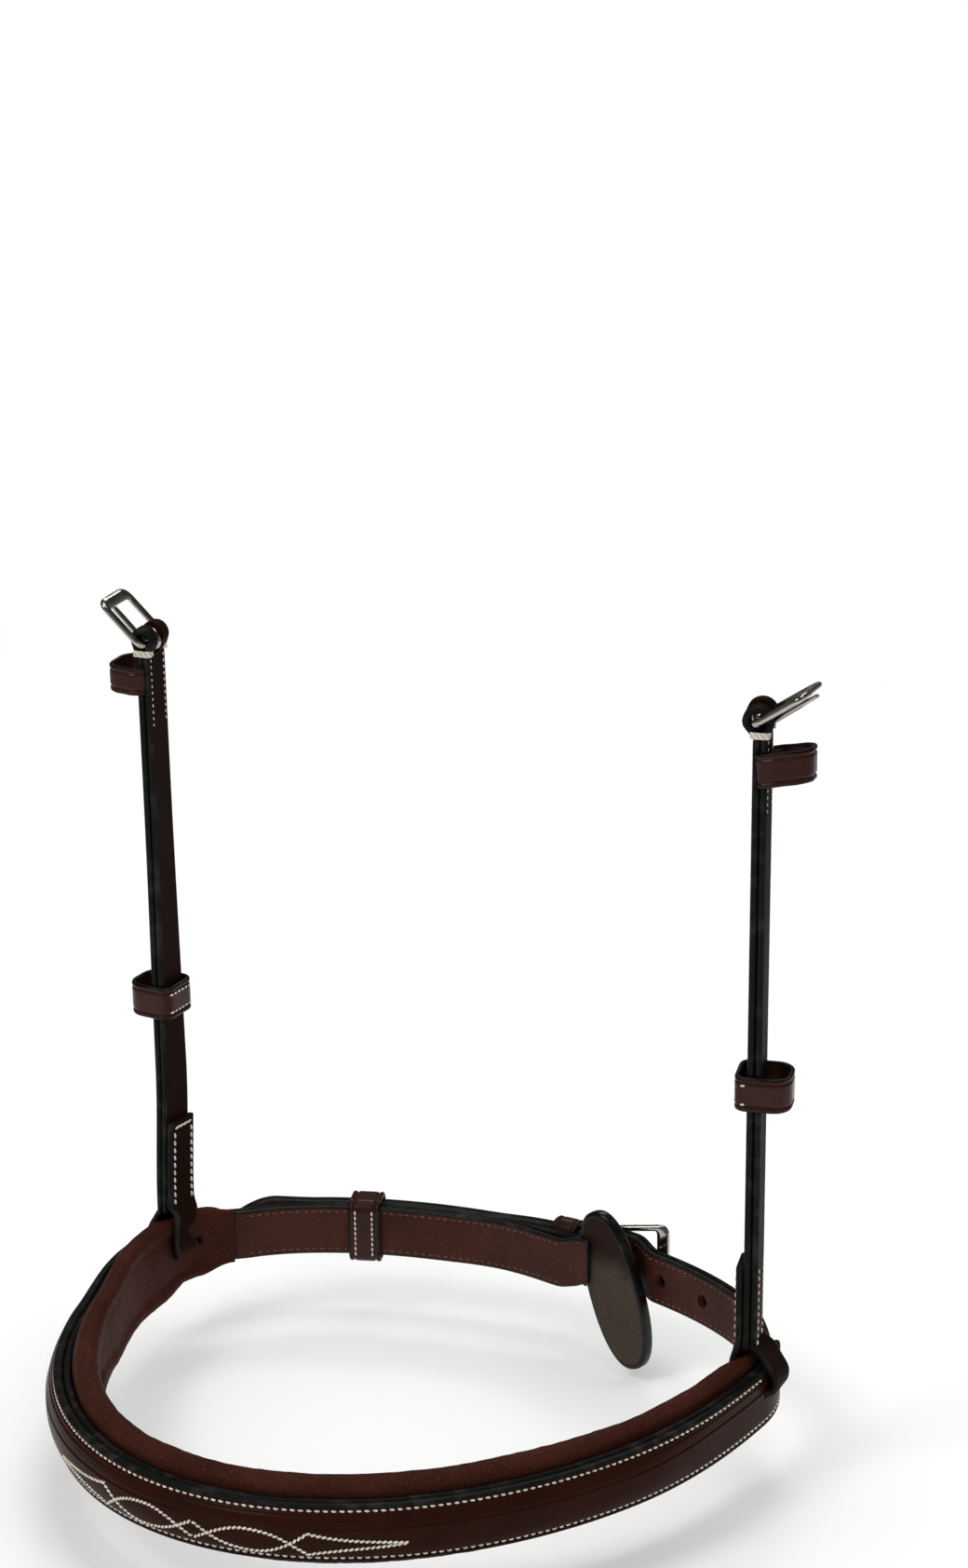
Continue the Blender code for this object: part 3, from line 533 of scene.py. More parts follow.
# A finish is a material and the slot of the part that wears it
faceFinish = (leather("bridleFaceLeather", (32, 12, 5), (46, 21, 12), roughness=(0.26, 0.4), coat=0.02,
                      specular=0.035, ink=(19, 19, 18), edgeCoat=0.03), "face_leather")
strapFinish = (leather("bridleStrapLeather", (23, 12, 6), (33, 19, 12), roughness=(0.45, 0.6), coat=0.0,
                       specular=0.015, ink=(19, 19, 18), edgeCoat=0.1), "strap_leather")
liningFinish = (leather("liningLeather", (46, 20, 12), (76, 40, 31), roughness=(0.42, 0.6), coat=0.02,
                        cells=800.0, cellDepth=0.45, bump=0.35), "lining_leather")
paddingFinish = (leather("softPaddingLeather", (44, 20, 13), (70, 36, 27), roughness=(0.44, 0.6), coat=0.0,
                         specular=0.03, cells=620.0, cellDepth=0.5, folds=160.0, foldDepth=0.9, bump=0.4,
                         bumpHeight=0.15), "lining_leather")
keeperFinish = (leather("keeperLeather", (38, 17, 12), (58, 30, 25), roughness=(0.2, 0.34), coat=0.22,
                        specular=0.06, ink=(17, 10, 8), edgeCoat=0.2), "keeper_leather")
# The flap's grey-brown colours are a painted sheen. Its tint, a darker reddish brown over the upper part, is
# painted shade.
flapFinish = (leather("flapLeatherPaintedSheenAndShade", (56, 46, 38), (72, 62, 53), roughness=(0.5, 0.66), coat=0.0,
                      cells=700.0, cellDepth=0.4, ink=(11, 11, 10), inkRoughness=0.25, edgeCoat=0.3,
                      tint=(21.0, 29.0, (36, 20, 15))), "flap_leather")
steelFinish = (steel(), "buckle_steel")
creamThread = thread("creamThread", (176, 166, 150), (232, 226, 214))
faceThread, strapThread, keeperThread = (
    (creamThread, slotName) for slotName in ("face_leather", "strap_leather", "keeper_leather"))
liningThread = (thread("duskyThread", (74, 44, 34), (108, 74, 60)), "lining_leather")
print("materials made")


# Camera, lights and floor

studio = {
    "azimuth": 30.81, "elevation": 17.91, "roll": -0.65,
    "distance": 1493.1, "target": (11.24, 6.05, 206.95), "focalPixels": 4843.0, "imageHeight": 1684,
    "floorGap": 4.0, "floorSize": 6000.0, "floorFade": (0.35, 1.1),
    "skyLight": 0.80, "lightsAim": (0, 0, 0.1),
    # Place, width, depth, power and tint of each lamp
    "lights": {
        "keyLight": ((-0.35, -0.95, 1.25), 0.5, 0.5, 5.6, (1, 0.985, 0.96)),
        "fillLight": ((1.35, -0.25, 0.75), 0.4, 0.8, 0.35, (0.97, 0.985, 1)),
        "topLight": ((0.1, 0.1, 1.6), 0.7, 0.7, 4.0, (1, 1, 1)),
        "rimLight": ((-0.5, 1.15, 1.3), 0.7, 0.3, 4.0, (1, 1, 1)),
    },
}


def makeCamera():
    az, el, roll = (math.radians(studio[k]) for k in ("azimuth", "elevation", "roll"))
    back = Vector((math.sin(az) * math.cos(el), -math.cos(az) * math.cos(el), math.sin(el)))
    right = Vector((math.cos(az), math.sin(az), 0))
    up = back.cross(right)
    across = right * math.cos(roll) + up * math.sin(roll)
    upward = -right * math.sin(roll) + up * math.cos(roll)
    target = Vector(studio["target"]) * mm
    camera = addObject("camera", bpy.data.cameras.new("camera"))
    axes = Matrix((across, upward, back)).transposed().to_4x4()
    camera.matrix_world = Matrix.Translation(target + back * studio["distance"] * mm) @ axes
    camera.data.sensor_fit = "VERTICAL"
    camera.data.sensor_height = 36
    camera.data.lens = studio["focalPixels"] / studio["imageHeight"] * 36
    bpy.context.scene.camera = camera
    bpy.context.scene.view_settings.view_transform = "Standard"


def makeLights():
    for name, (place, width, depth, power, tint) in studio["lights"].items():
        lamp = bpy.data.lights.new(name, "AREA")
        lamp.shape, lamp.size, lamp.size_y = "RECTANGLE", width, depth
        lamp.energy, lamp.color = power, tint
        aim = (Vector(studio["lightsAim"]) - Vector(place)).to_track_quat("-Z", "Y")
        addObject(name, lamp).matrix_world = Matrix.Translation(place) @ aim.to_matrix().to_4x4()
    world = bpy.data.worlds.new("studioWorld")
    bpy.context.scene.world = world
    world.use_nodes = True
    tree = world.node_tree
    tree.nodes.clear()
    high = node(tree, "SeparateXYZ", {"Vector": node(tree, "TexCoord").outputs["Generated"]}).outputs["Z"]
    dim = mix(tree, spread(tree, high, 0.02, 0.55), (0.17, 0.17, 0.165, 1), (0.03, 0.031, 0.029, 1))
    white = (1, 1, 1, 1)
    plain, glossy, bright = (
        node(tree, "Background", {"Color": colour, "Strength": power}).outputs[0]
        for colour, power in ((white, studio["skyLight"]), (dim, 1.0), (white, 1.0)))
    sky = plain
    rays = node(tree, "LightPath").outputs
    for ray, seen in (("Glossy", glossy), ("Camera", bright), ("Transmission", bright)):
        sky = node(tree, "MixShader", {0: rays[f"Is {ray} Ray"], 1: sky, 2: seen}).outputs[0]
    node(tree, "OutputWorld", {"Surface": sky})


def makeFloor():
    half, level = studio["floorSize"] * mm / 2, cadLow.z - studio["floorGap"] * mm
    mesh = bpy.data.meshes.new("floor")
    corners = [(x * half, y * half, level) for x, y in ((-1, -1), (1, -1), (1, 1), (-1, 1))]
    mesh.from_pydata(corners, [], [(0, 1, 2, 3)])
    made, tree, shader, place = newMaterial("paleFloor")
    feed(tree, shader, {"Base Color": (0.9, 0.9, 0.895, 1), "Roughness": 0.9, "Specular IOR Level": 0.1})
    away = node(tree, "VectorMath", {0: place}, operation="LENGTH").outputs["Value"]
    faded = node(tree, "MixShader", {0: spread(tree, away, *studio["floorFade"]), 1: shader.outputs[0],
                                     2: node(tree, "BsdfTransparent").outputs[0]})
    feed(tree, tree.nodes["Material Output"], {"Surface": faded.outputs[0]})
    mesh.materials.append(made)
    addObject("floor", mesh)


makeCamera()
makeLights()
makeFloor()
print("studio ready")


# Nosepiece: padding with a roll along each edge, a flat strap, and the raised fancy-stitched face.
# Three values are those at the nose, at the cheek and at the end; two are an ease's start and length.

nose = {
    "height": 20.0, "halfLength": 241.0, "strapHalfLength": 236.0, "strapPly": 2.6, "gap": 0.3,
    "facePly": (3.3, 2.2, 2.2), "domeTall": 2.7, "domeHalf": 8.0, "domePower": 0.75,
    "domeFade": (140.0, 55.0), "cheekTaper": (140.0, 70.0), "endTaperStart": 226.45,
    "slitArc": 220.0, "slitHalfWidth": 7.05, "slitLow": 10.0, "slitHigh": 13.0, "slitReach": 14.0,
    "arcStep": 1.6, "edgeRound": 0.9, "edgePaint": 1.5, "cornerRound": 8.0,
    # Each edge row's height and last arc
    "rows": {"upper": (18.05, 211.0), "lower": (2.2, 233.0)}, "rowFurrow": (0.55, 0.30), "stitchPitch": 2.45,
    # The pressed lines and the lips beside them: height, width and depth
    "lines": ((16.7, 0.34, 0.256), (13.2, 0.408, 0.32), (12.45, 0.5, -0.1), (16.1, 0.4, -0.08)),
}
padding = {
    "depth": (9.2, 5.0, 2.4), "middle": (5.0, 3.6, 2.4), "proud": (5.0, 3.0, 0.3), "taper": (202.0, 16.0),
    "bulge": 0.8, "wholeUntil": (200.0, 16.0), "step": 1.5,
    # At the cheeks the rolls are thinner, the far one stands higher and the low ones are drawn in: how
    # far, and the ease that brings it
    "thin": (2.6, 105.0, 55.0), "swell": (1.8, 150.0, 35.0), "drawn": (0.6, 140.0, 45.0),
    # Wrinkles: height, size and seed, and those where the cheek straps leave it slack
    "wrinkles": ((0.13, 9.0, 3), (0.11, 3.0, 5), (0.09, 1.5, 7)), "slack": (0.25, 4.5, 11),
    "slackReach": 14.0, "slackSquash": 0.35,
}
bandMiddle = nose["height"] / 2


def tapered(arc, values, taper):
    # The nose's value, eased to the cheek's and, past the slit, to the end's
    front, side, end = values
    start = nose["endTaperStart"]
    at = front + (side - front) * ease(np.abs(arc), *taper)
    return at + (end - at) * ease(np.abs(arc), start, nose["halfLength"] - start)


def faceOut(arc, up):
    # The face's outer surface: its ply, plus a dome (1 - s²)^power across it that fades at the cheeks
    share = (up - bandMiddle) / nose["domeHalf"]
    fade = 1 - ease(np.abs(arc), *nose["domeFade"])
    dome = nose["domeTall"] * fade * np.clip(1 - share * share, 0, 1) ** nose["domePower"]
    lines = sum(groove(up, height, *nose["rowFurrow"]) for height, end in nose["rows"].values())
    lines = lines + sum(groove(up, *line) for line in nose["lines"])
    return nose["strapPly"] + nose["gap"] + tapered(arc, nose["facePly"], nose["cheekTaper"]) + dome + lines


def faceSpot(arc, up):
    # A point on the face with its outward normal, by differences of the surface
    step = 0.05
    spot = onBand(arc, faceOut(arc, up), up)
    along = onBand(arc + step, faceOut(arc + step, up), up) - spot
    above = onBand(arc, faceOut(arc, up + step), up + step) - spot
    return spot, unit(np.cross(along, above))


def endShare(arc, half):
    # The share of its height that a ply keeps near its ends, whose corners are rounded
    left = np.clip((half - np.abs(arc)) / nose["cornerRound"], 0, 1)
    return 1 - 0.5 * (1 - np.sqrt(1 - (1 - left) ** 2))


def cutSlits(thing):
    half, deep = nose["slitHalfWidth"], nose["slitReach"]
    for hand in (1, -1):
        cutOut(thing, (-deep, -half, nose["slitLow"]), (deep, half, nose["slitHigh"]),
               bandFrame(hand * nose["slitArc"]))


def makeFace():
    # Front, top edge, back and low edge of the section, in that order
    half, turn, tall = nose["halfLength"], nose["edgeRound"], nose["height"]
    arcs = np.linspace(-half, half, int(2 * half / nose["arcStep"]))[:, None]
    up = np.linspace(turn, tall - turn, 92)[None]
    front = faceOut(arcs, up)
    base = nose["strapPly"] + nose["gap"]
    angle = angles(90, -90, 9)[1:-1]
    topOut, lowOut = (base + (ply - base) / 2 * (1 + np.sin(angle)) for ply in (front[:, -1:], front[:, :1]))
    topUp = tall - turn + turn * np.cos(angle) + 0 * arcs
    backUp = np.linspace(tall - turn, turn, 6) + 0 * arcs
    out = np.concatenate((front, topOut, base + 0 * backUp, lowOut[:, ::-1]), 1)
    height = np.concatenate((up + 0 * arcs, topUp, backUp, tall - topUp[:, ::-1]), 1)
    painted = np.clip(1.3 - np.minimum(up, tall - up)[0] / nose["edgePaint"], 0, 1)
    mark = np.concatenate((painted, np.ones(7), np.zeros(6), np.ones(7)))
    height = bandMiddle + (height - bandMiddle) * endShare(arcs, half)
    face = skin("nosepieceFace", onBand(arcs, out, height), faceFinish, edge=mark)
    cutSlits(face)
    settle(face, "noseband", "nosepiece_face", "nosepiece_filler")


def paddingSection(arcs):
    # Round rolls of radius r above and below, and between them inside a softly domed panel
    depth, middle, proud = (tapered(arcs, padding[k], padding["taper"])
                            for k in ("depth", "middle", "proud"))
    at = np.abs(arcs)
    whole = 1 - ease(at, *padding["wholeUntil"])

    def atCheek(key, way):
        amount, start, length = padding[key]
        return amount * ease(way, start, length) * whole

    r = (depth - atCheek("thin", at)) / 2
    top = nose["height"] + proud + atCheek("swell", -arcs) - r
    low = r - proud + atCheek("drawn", at)
    sweep = angles(-25, 215, 34)
    topOut, topUp = r * np.cos(sweep) - r, top + r * np.sin(sweep)
    lowOut, lowUp = topOut[:, ::-1], low - r * np.sin(sweep[::-1])
    u = np.linspace(0, 1, 26)[1:-1]
    panelUp = topUp[:, -1:] + (lowUp[:, :1] - topUp[:, -1:]) * u
    panelOut = -middle - padding["bulge"] * (1 - (2 * u - 1) ** 4) ** 0.8
    joinOut = topOut[:, -1:]
    panelOut = np.maximum(joinOut + (panelOut - joinOut) * ease(np.minimum(u, 1 - u), 0, 0.1), -2 * r)
    v = np.linspace(0, 1, 14)[1:-1]
    outerUp = lowUp[:, -1:] + (topUp[:, :1] - lowUp[:, -1:]) * v
    outerOut = topOut[:, :1] * (1 - np.sin(v * math.pi)) - 0.02
    out = np.concatenate((topOut, panelOut, lowOut, outerOut), 1)
    return out - nose["gap"], np.concatenate((topUp, panelUp, lowUp, outerUp), 1)


def makePadding():
    half = nose["halfLength"]
    arcs = np.linspace(-half, half, int(2 * half / padding["step"]))[:, None]
    out, height = paddingSection(arcs)
    grid = onBand(arcs, out, height)
    # Soft folds and grain: the surface moves along the section's own normal by layers of value noise
    normal = unit(np.cross(np.gradient(grid, axis=0), np.roll(grid, -1, 1) - np.roll(grid, 1, 1)))
    normal *= np.sign(np.einsum("ijk,ijk->ij", normal, grid - grid.mean(1, keepdims=True)).mean())
    lift = sum(tall * cloud(grid, size, seed) for tall, size, seed in padding["wrinkles"])
    tall, size, seed = padding["slack"]
    slack = np.exp(-((np.abs(arcs) - nose["slitArc"]) / padding["slackReach"]) ** 2)
    lift = lift + slack * tall * cloud(grid * (1, 1, padding["slackSquash"]), size, seed)
    inside = np.clip((-out - 0.9) / 0.8, 0, 1)
    grid = grid + normal * (lift * inside)[..., None]
    piece = skin("nosepiecePadding", grid, paddingFinish, edge=0.0, sharp=75.0)
    cutSlits(piece)
    settle(piece, "noseband", "nosepiece_padding")


def bandPiece(name, start, end, low, ply, width, finish, ways, step=1.6, **lines):
    # A flat strap on edge round the band, from out = low to low + ply. ways are functions of arc: how
    # far it moves outwards and up, and its share of the full width. lines are strapProfile's furrows.
    arcs = np.linspace(start, end, int(abs(end - start) / step) + 1)
    a, b, mark = strapProfile(width, ply, **lines)
    moved, lifted, wide = (way(arcs)[:, None] for way in ways)
    thin = roundedEnds(len(arcs), step, 0.9)[:, None]
    grid = onBand(arcs[:, None], low + moved + ply / 2 + b * thin, bandMiddle + lifted + a * wide)
    return skin(name, grid, finish, edge=np.maximum(mark, (thin < 0.98) * 0.8))


def still(arc):
    return 0 * arc


def strapShare(arc):
    return endShare(arc, nose["strapHalfLength"])


def makeBandStrap():
    half = nose["strapHalfLength"]
    strap = bandPiece("nosepieceStrap", -half, half, 0, nose["strapPly"], nose["height"], strapFinish,
                      (still, still, strapShare))
    cutSlits(strap)
    settle(strap, "noseband", "band_strap")


def makeNoseRows():
    # Edge rows: even stitches along lines of equal height, and the last ones of the lower row left out
    for name, (up, end) in nose["rows"].items():
        arcs = np.linspace(-end, end, int(2 * end / nose["stitchPitch"]))
        if name == "lower":
            arcs = arcs[1:-1]
        spots, normals = faceSpot(arcs, np.full(arcs.shape, up))
        rows = sew(f"{name}EdgeStitches", spots, bandRun(arcs), normals, faceThread,
                   length=2.05, thick=0.46, slant=-0.16, sink=0.02)
        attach(rows, "noseband")


fancy = {
    "centreArc": 2.6, "centreUp": 7.7, "diamondHalf": 5.0, "diamondHeight": 3.0,
    "lensEnd": 30.2, "upperPeak": 16.4, "lowerPeak": 19.4, "lensHeight": 3.9,
    "cornerAt": 35.5, "cornerHeight": 3.8, "tipAt": 65.0, "tipBow": 0.25, "crossSlope": 0.68,
    "pitch": 1.72, "length": 1.95, "thick": 0.43, "slant": 0.42, "sink": -0.05,
}


def hermite(x, x0, y0, m0, x1, y1, m1):
    # The cubic from (x0, y0) with slope m0 to (x1, y1) with slope m1
    h = x1 - x0
    t = (x - x0) / h
    return (y0 * (2 * t ** 3 - 3 * t ** 2 + 1) + m0 * h * (t ** 3 - 2 * t ** 2 + t)
            + y1 * (3 * t ** 2 - 2 * t ** 3) + m1 * h * (t ** 3 - t ** 2))


def fancyLine(peakAt):
    # Half of one thread line: diamond corner, crossing, lens arch, crossing, spear corner, tip
    half, tall, lens, lensEnd = (fancy[k] for k in ("diamondHalf", "diamondHeight", "lensHeight", "lensEnd"))
    cornerAt, corner, tipAt = fancy["cornerAt"], fancy["cornerHeight"], fancy["tipAt"]
    stops = ((0, half, 24), (half, peakAt, 40), (peakAt, lensEnd, 40), (lensEnd, cornerAt, 20),
             (cornerAt, tipAt, 60))
    a, b, c, d, e = parts = [np.linspace(*stop) for stop in stops]
    share = (e - cornerAt) / (tipAt - cornerAt)
    heights = (-tall * (1 - a / half), hermite(b, half, 0, tall / half, peakAt, lens, 0),
               hermite(c, peakAt, lens, 0, lensEnd, 0, -fancy["crossSlope"]),
               -corner * (d - lensEnd) / (cornerAt - lensEnd),
               -corner * (1 - share) * (1 - fancy["tipBow"] * np.sin(share * math.pi)))
    return np.concatenate(parts), np.concatenate(heights)


def makeFancyStitching():
    spots, runs, normals = [], [], []
    for peakAt, side in ((fancy["upperPeak"], 1), (fancy["lowerPeak"], -1)):
        x, y = fancyLine(peakAt)
        for hand in (1, -1):
            arcs, ups = fancy["centreArc"] + hand * x, fancy["centreUp"] + side * y
            line = faceSpot(arcs, ups)[0]
            run = distances(line)
            count = int(run[-1] / fancy["pitch"])
            at = (run[-1] - count * fancy["pitch"]) / 2 + (np.arange(count) + 0.5) * fancy["pitch"]
            spots.append(between(at, run, line))
            runs.append(hand * unit(between(at + 0.1, run, line) - between(at - 0.1, run, line)))
            normals.append(faceSpot(np.interp(at, run, arcs), np.interp(at, run, ups))[1])
    piece = sew("fancyStitching", *(np.concatenate(part) for part in (spots, runs, normals)), faceThread,
                *(fancy[k] for k in ("length", "thick", "slant", "sink")))
    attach(piece, "noseband")


makePadding()
makeBandStrap()
makeFace()
makeNoseRows()
makeFancyStitching()
print("nosepiece made")


# Straps behind the jaw: the far strap folded round the buckle's bar, the punched billet, their linings

jaw = {
    "ply": 2.2, "height": 18.5, "gap": 0.3, "buckleArc": 332.0, "barOut": -0.15, "foldRadius": 2.85,
    "neck": 7.41, "chape": 14.0, "slotHalf": 2.0, "slotReach": 5.985, "foldStep": 0.9,
    "splice": 236.3, "liningStart": 241.3, "tipGap": 243.0, "step": 1.1,
    "lift": 6.85, "lay": 5.0, "climb": (311.0, 17.0), "settle": (363.0, 22.0),
    "tipTaper": 16.0, "tipWidth": 5.0, "tipBlunt": 2.2, "tipRise": 2.5, "tipRiseLength": 30.0,
    "holeRadius": 2.5, "holePitch": 22.2, "firstHole": 330.15, "holesBefore": 2, "holesAfter": 3,
    "liningEnd": 335.0, "liningLeave": (345.0, 60.0), "liningEndHeight": 16.5, "liningTaper": 6.0,
    "liningRise": 2.6, "liningDrop": (339.0, 60.0),
    "rowInset": 2.0, "rowPitch": 2.9, "rowStart": 246.0, "rowTipGap": 14.0, "farRows": (352.0, 350.0),
}
flap = {"arc": 352.0, "seat": -2.8, "lean": 8.0, "along": 26.6, "up": 9.8, "slant": 18.5,
        "halfLength": 29.0, "halfWidth": 11.8, "ply": 4.5, "rim": 1.3, "power": 2.3}
billetTip = ringLength - jaw["tipGap"]
liningLow = -jaw["gap"] - jaw["ply"]
strapLines = tuple((side * (jaw["height"] / 2 - jaw["rowInset"]), 0.5, 0.18) for side in (-1, 1))


def billetShift(arc):
    return jaw["lift"] * ease(arc, *jaw["climb"]) - (jaw["lift"] - jaw["lay"]) * ease(arc, *jaw["settle"])


def billetUp(arc):
    return jaw["tipRise"] * ease(arc, billetTip - jaw["tipRiseLength"], jaw["tipRiseLength"])


def billetTaper(arc):
    left = np.clip(billetTip - arc, 0, None)
    share = np.clip(left / jaw["tipTaper"], 0, 1)
    wide = jaw["tipWidth"] + (jaw["height"] - jaw["tipWidth"]) * np.sin(share * math.pi / 2)
    blunt = np.sqrt(1 - (1 - np.clip(left / jaw["tipBlunt"], 0, 1)) ** 2)
    return wide * (0.25 + 0.75 * blunt) / jaw["height"]


def punchBillet(piece):
    shape = bmesh.new()
    radius = jaw["holeRadius"] * mm
    for number in range(-jaw["holesBefore"], jaw["holesAfter"] + 1):
        arc = jaw["firstHole"] + number * jaw["holePitch"]
        matrix = bandFrame(arc, float(billetShift(arc)), bandMiddle) @ Matrix.Rotation(math.pi / 2, 4, "Y")
        bmesh.ops.create_cone(shape, cap_ends=True, segments=28, radius1=radius, radius2=radius,
                              depth=12 * mm, matrix=matrix)
    cutWith(piece, shape)


def flapFrame():
    # The flap's plane in mm: X outwards through it, Y away from the near side, Z up
    seat = bandFrame(flap["arc"], flap["seat"], -rise(flap["arc"]), 1)
    return seat @ Matrix.Rotation(-math.radians(flap["lean"]), 4, "Z")


def liningShift(arc):
    # Carries the far lining inwards over the flap's inner face, and back to the strap past it
    plane = flapFrame()
    normal = np.array(plane.to_3x3() @ Vector((1, 0, 0)))
    face = np.array(plane @ Vector((-flap["ply"], 0, 0)))
    gap = ((face - onBand(arc, 0, 0)) @ normal) / (bandOut(arc) @ normal)
    return (1 - ease(arc, *jaw["liningLeave"])) * gap


def liningUp(arc):
    return jaw["liningRise"] * (1 - ease(arc, *jaw["liningDrop"]))


def liningTaper(arc):
    least = jaw["liningEndHeight"] / jaw["height"]
    return least + (1 - least) * ease(arc, jaw["liningEnd"], jaw["liningTaper"])


def makeJawStraps():
    size, ways = (jaw["ply"], jaw["height"]), (billetShift, billetUp, billetTaper)
    strap = bandPiece("nearBilletStrap", jaw["splice"], billetTip, 0, *size, strapFinish, ways,
                      jaw["step"], front=strapLines)
    lining = bandPiece("nearBilletLining", jaw["liningStart"], billetTip, liningLow, *size, liningFinish,
                       ways, jaw["step"], back=strapLines)
    for piece, nodeName in ((strap, "near_billet_strap"), (lining, "near_billet_lining")):
        punchBillet(piece)
        settle(piece, "noseband", nodeName)
    farStart = ringLength - nose["halfLength"] - jaw["gap"]
    lining = bandPiece("farBackLining", jaw["liningEnd"], farStart, liningLow, *size, liningFinish,
                       (liningShift, liningUp, liningTaper), jaw["step"], back=strapLines)
    settle(lining, "noseband", "far_back_lining")


def foldKnots(tail, neck, centre, radius, front, behind, lift=0.0):
    # A strap's turn round a bar, as (out, along): up the front, round the bar, down behind to tail
    knots = [(front, neck), ((front + centre + radius) / 2, neck * 0.45)]
    for angle in angles(-15, 195, 9):
        knots.append((centre + radius * math.cos(angle), lift + radius * math.sin(angle)))
    knots.append(((behind + centre - radius) / 2, neck * 0.45))
    return knots + [(behind, along) for along in np.linspace(neck, tail, 2 + int((neck - tail) / 2.5))]


def makeFarBackStrap():
    # Round the band to the bar, round the bar, and back along the band; past the neck it follows the ring
    ply, neck, bar, step = jaw["ply"], jaw["neck"], jaw["buckleArc"], jaw["foldStep"]
    arcs = np.arange(ringLength - jaw["splice"], bar + neck + 2.5, -3.0)
    knots = [onBand(arcs, ply / 2, bandMiddle)]
    for x, along in foldKnots(-jaw["chape"], -neck, jaw["barOut"], jaw["foldRadius"], ply / 2,
                              -jaw["gap"] - ply / 2):
        spot = onBand(bar - along, x, bandMiddle)
        if along > -neck:
            spot = onBand(bar, x, bandMiddle) - bandRun(bar) * along
        knots.append(spot[None])
    path = smoothPath(np.concatenate(knots), step)
    a, b, mark = strapProfile(jaw["height"], ply, front=strapLines, back=strapLines)
    grid = ribbonGrid(path, (0, 0, 1.0), a, b, 1.0, roundedEnds(len(path), step, 0.9))
    strap = skin("farBackStrap", grid, strapFinish, edge=mark)
    reachOut, half = jaw["foldRadius"] + ply, jaw["slotHalf"]
    cutOut(strap, (-reachOut, -reachOut, bandMiddle - half), (reachOut, jaw["slotReach"], bandMiddle + half),
           bandFrame(bar))
    settle(strap, "noseband", "far_back_strap")


def makeJawRows():
    # Stitching along both edges: cream outside, a darker thread on the lining inside
    start, tip, far = jaw["rowStart"], billetTip - jaw["rowTipGap"], ringLength - jaw["rowStart"]
    outerEnd, innerEnd = jaw["farRows"]
    inset = jaw["height"] / 2 - jaw["rowInset"]
    billet = (start, tip, billetShift, billetUp)
    for name, finish, facing, out, stretches in (
            ("jawStrapStitches", strapThread, 1, jaw["ply"] - 0.1, (billet, (outerEnd, far, still, still))),
            ("jawLiningStitches", liningThread, -1, liningLow + 0.12,
             (billet, (innerEnd, far, liningShift, liningUp)))):
        spots, runs, normals = [], [], []
        for side in (-1, 1):
            for first, last, shift, up in stretches:
                arcs = np.arange(first, last, jaw["rowPitch"])
                spots.append(onBand(arcs, out + shift(arcs), bandMiddle + side * inset + up(arcs)))
                runs.append(bandRun(arcs))
                normals.append(facing * bandOut(arcs))
        rows = sew(name, *(np.concatenate(part) for part in (spots, runs, normals)), finish,
                   length=2.0, thick=0.36, slant=-0.12, sink=0.08)
        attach(rows, "noseband")


def makeFlap():
    # Rings of a superellipse |x/w|^p + |y/l|^p = 1: growing over the outer face, round the rim by a
    # quarter circle on each side, and shrinking over the inner face
    plane = flapFrame() @ Matrix.Translation((0, -flap["along"], flap["up"]))
    plane = plane @ Matrix.Rotation(-math.radians(flap["slant"]), 4, "X")
    ply, rim = flap["ply"], flap["rim"]
    turn = np.linspace(0, 2 * math.pi, 96, endpoint=False)
    across, along = (np.sign(way) * np.abs(way) ** (2 / flap["power"])
                     for way in (np.cos(turn), np.sin(turn)))
    size = np.linspace(0.04, 1, 12) ** 0.7
    bend = angles(75, 0, 6)
    edgeDeep, edgeInset = rim * (1 - np.sin(bend)), rim * (1 - np.cos(bend))
    turnDeep, turnInset = (np.append(edge[:-1][::-1], end)
                           for edge, end in ((edgeDeep, 0), (edgeInset, rim)))
    deep = np.concatenate((0 * size, edgeDeep, ply - turnDeep, ply + 0 * size[1:]))
    inset = np.concatenate((rim + 0 * size, edgeInset, turnInset, rim + 0 * size[1:]))
    size = np.concatenate((size, np.ones(12), size[::-1][1:]))[:, None]
    across = across * (flap["halfWidth"] - inset[:, None]) * size
    along = along * (flap["halfLength"] - inset[:, None]) * size
    grid = toWorld(plane, np.stack((-deep[:, None] + 0 * across, across, along), -1))
    piece = skin("chinFlap", grid, flapFinish, edge=size > 0.97, sharp=60.0)
    settle(piece, "noseband", "chin_flap")


makeJawStraps()
makeFarBackStrap()
makeJawRows()
makeFlap()
print("jaw straps and flap made")


# Keepers, buckles and tongues are set out in their own frames: X outwards, Y across the strap, Z along it

keeper = {"ply": 1.6, "crease": (0.42, 0.42), "creaseInset": 1.9, "corner": 3.2, "frontCorner": 5.4,
          "innerCorner": 2.0, "bulge": 0.7, "bulgeAt": 0.35, "bulgeReach": 0.16,
          "sewnFrom": 2.2, "sewnEnds": ((0.9, 1.5), (1.6, 0.5)), "step": 0.7}
wire = {"side": 1.1, "bar": 1.3, "wideEnd": 2.3, "corner": 3.0, "squareness": 2.4, "tongue": 0.95}


def roundBox(low, high, half, corner, frontCorner, straight=8):
    # A rounded rectangle in the XY plane from x = low to high and y = -half to half
    arcs = []
    for turn, (sx, sy) in enumerate(((1, 1), (-1, 1), (-1, -1), (1, -1))):
        r = frontCorner if sx > 0 else corner
        centre = (high - r if sx > 0 else low + r, sy * (half - r))
        angle = angles(90 * turn, 90 * turn + 90, 7)
        arcs.append(np.array(centre) + r * np.stack((np.cos(angle), np.sin(angle)), 1))
    share = np.linspace(0, 1, straight + 2)[1:-1, None]
    return np.concatenate([part for arc, after in zip(arcs, arcs[1:] + arcs[:1])
                           for part in (arc, arc[-1] + (after[0] - arc[-1]) * share)])


def keeperProfile(height):
    lines = [(side * (height / 2 - keeper["creaseInset"]), *keeper["crease"]) for side in (-1, 1)]
    return strapProfile(height, keeper["ply"], front=lines, back=lines, step=0.22, roundness=0.5)


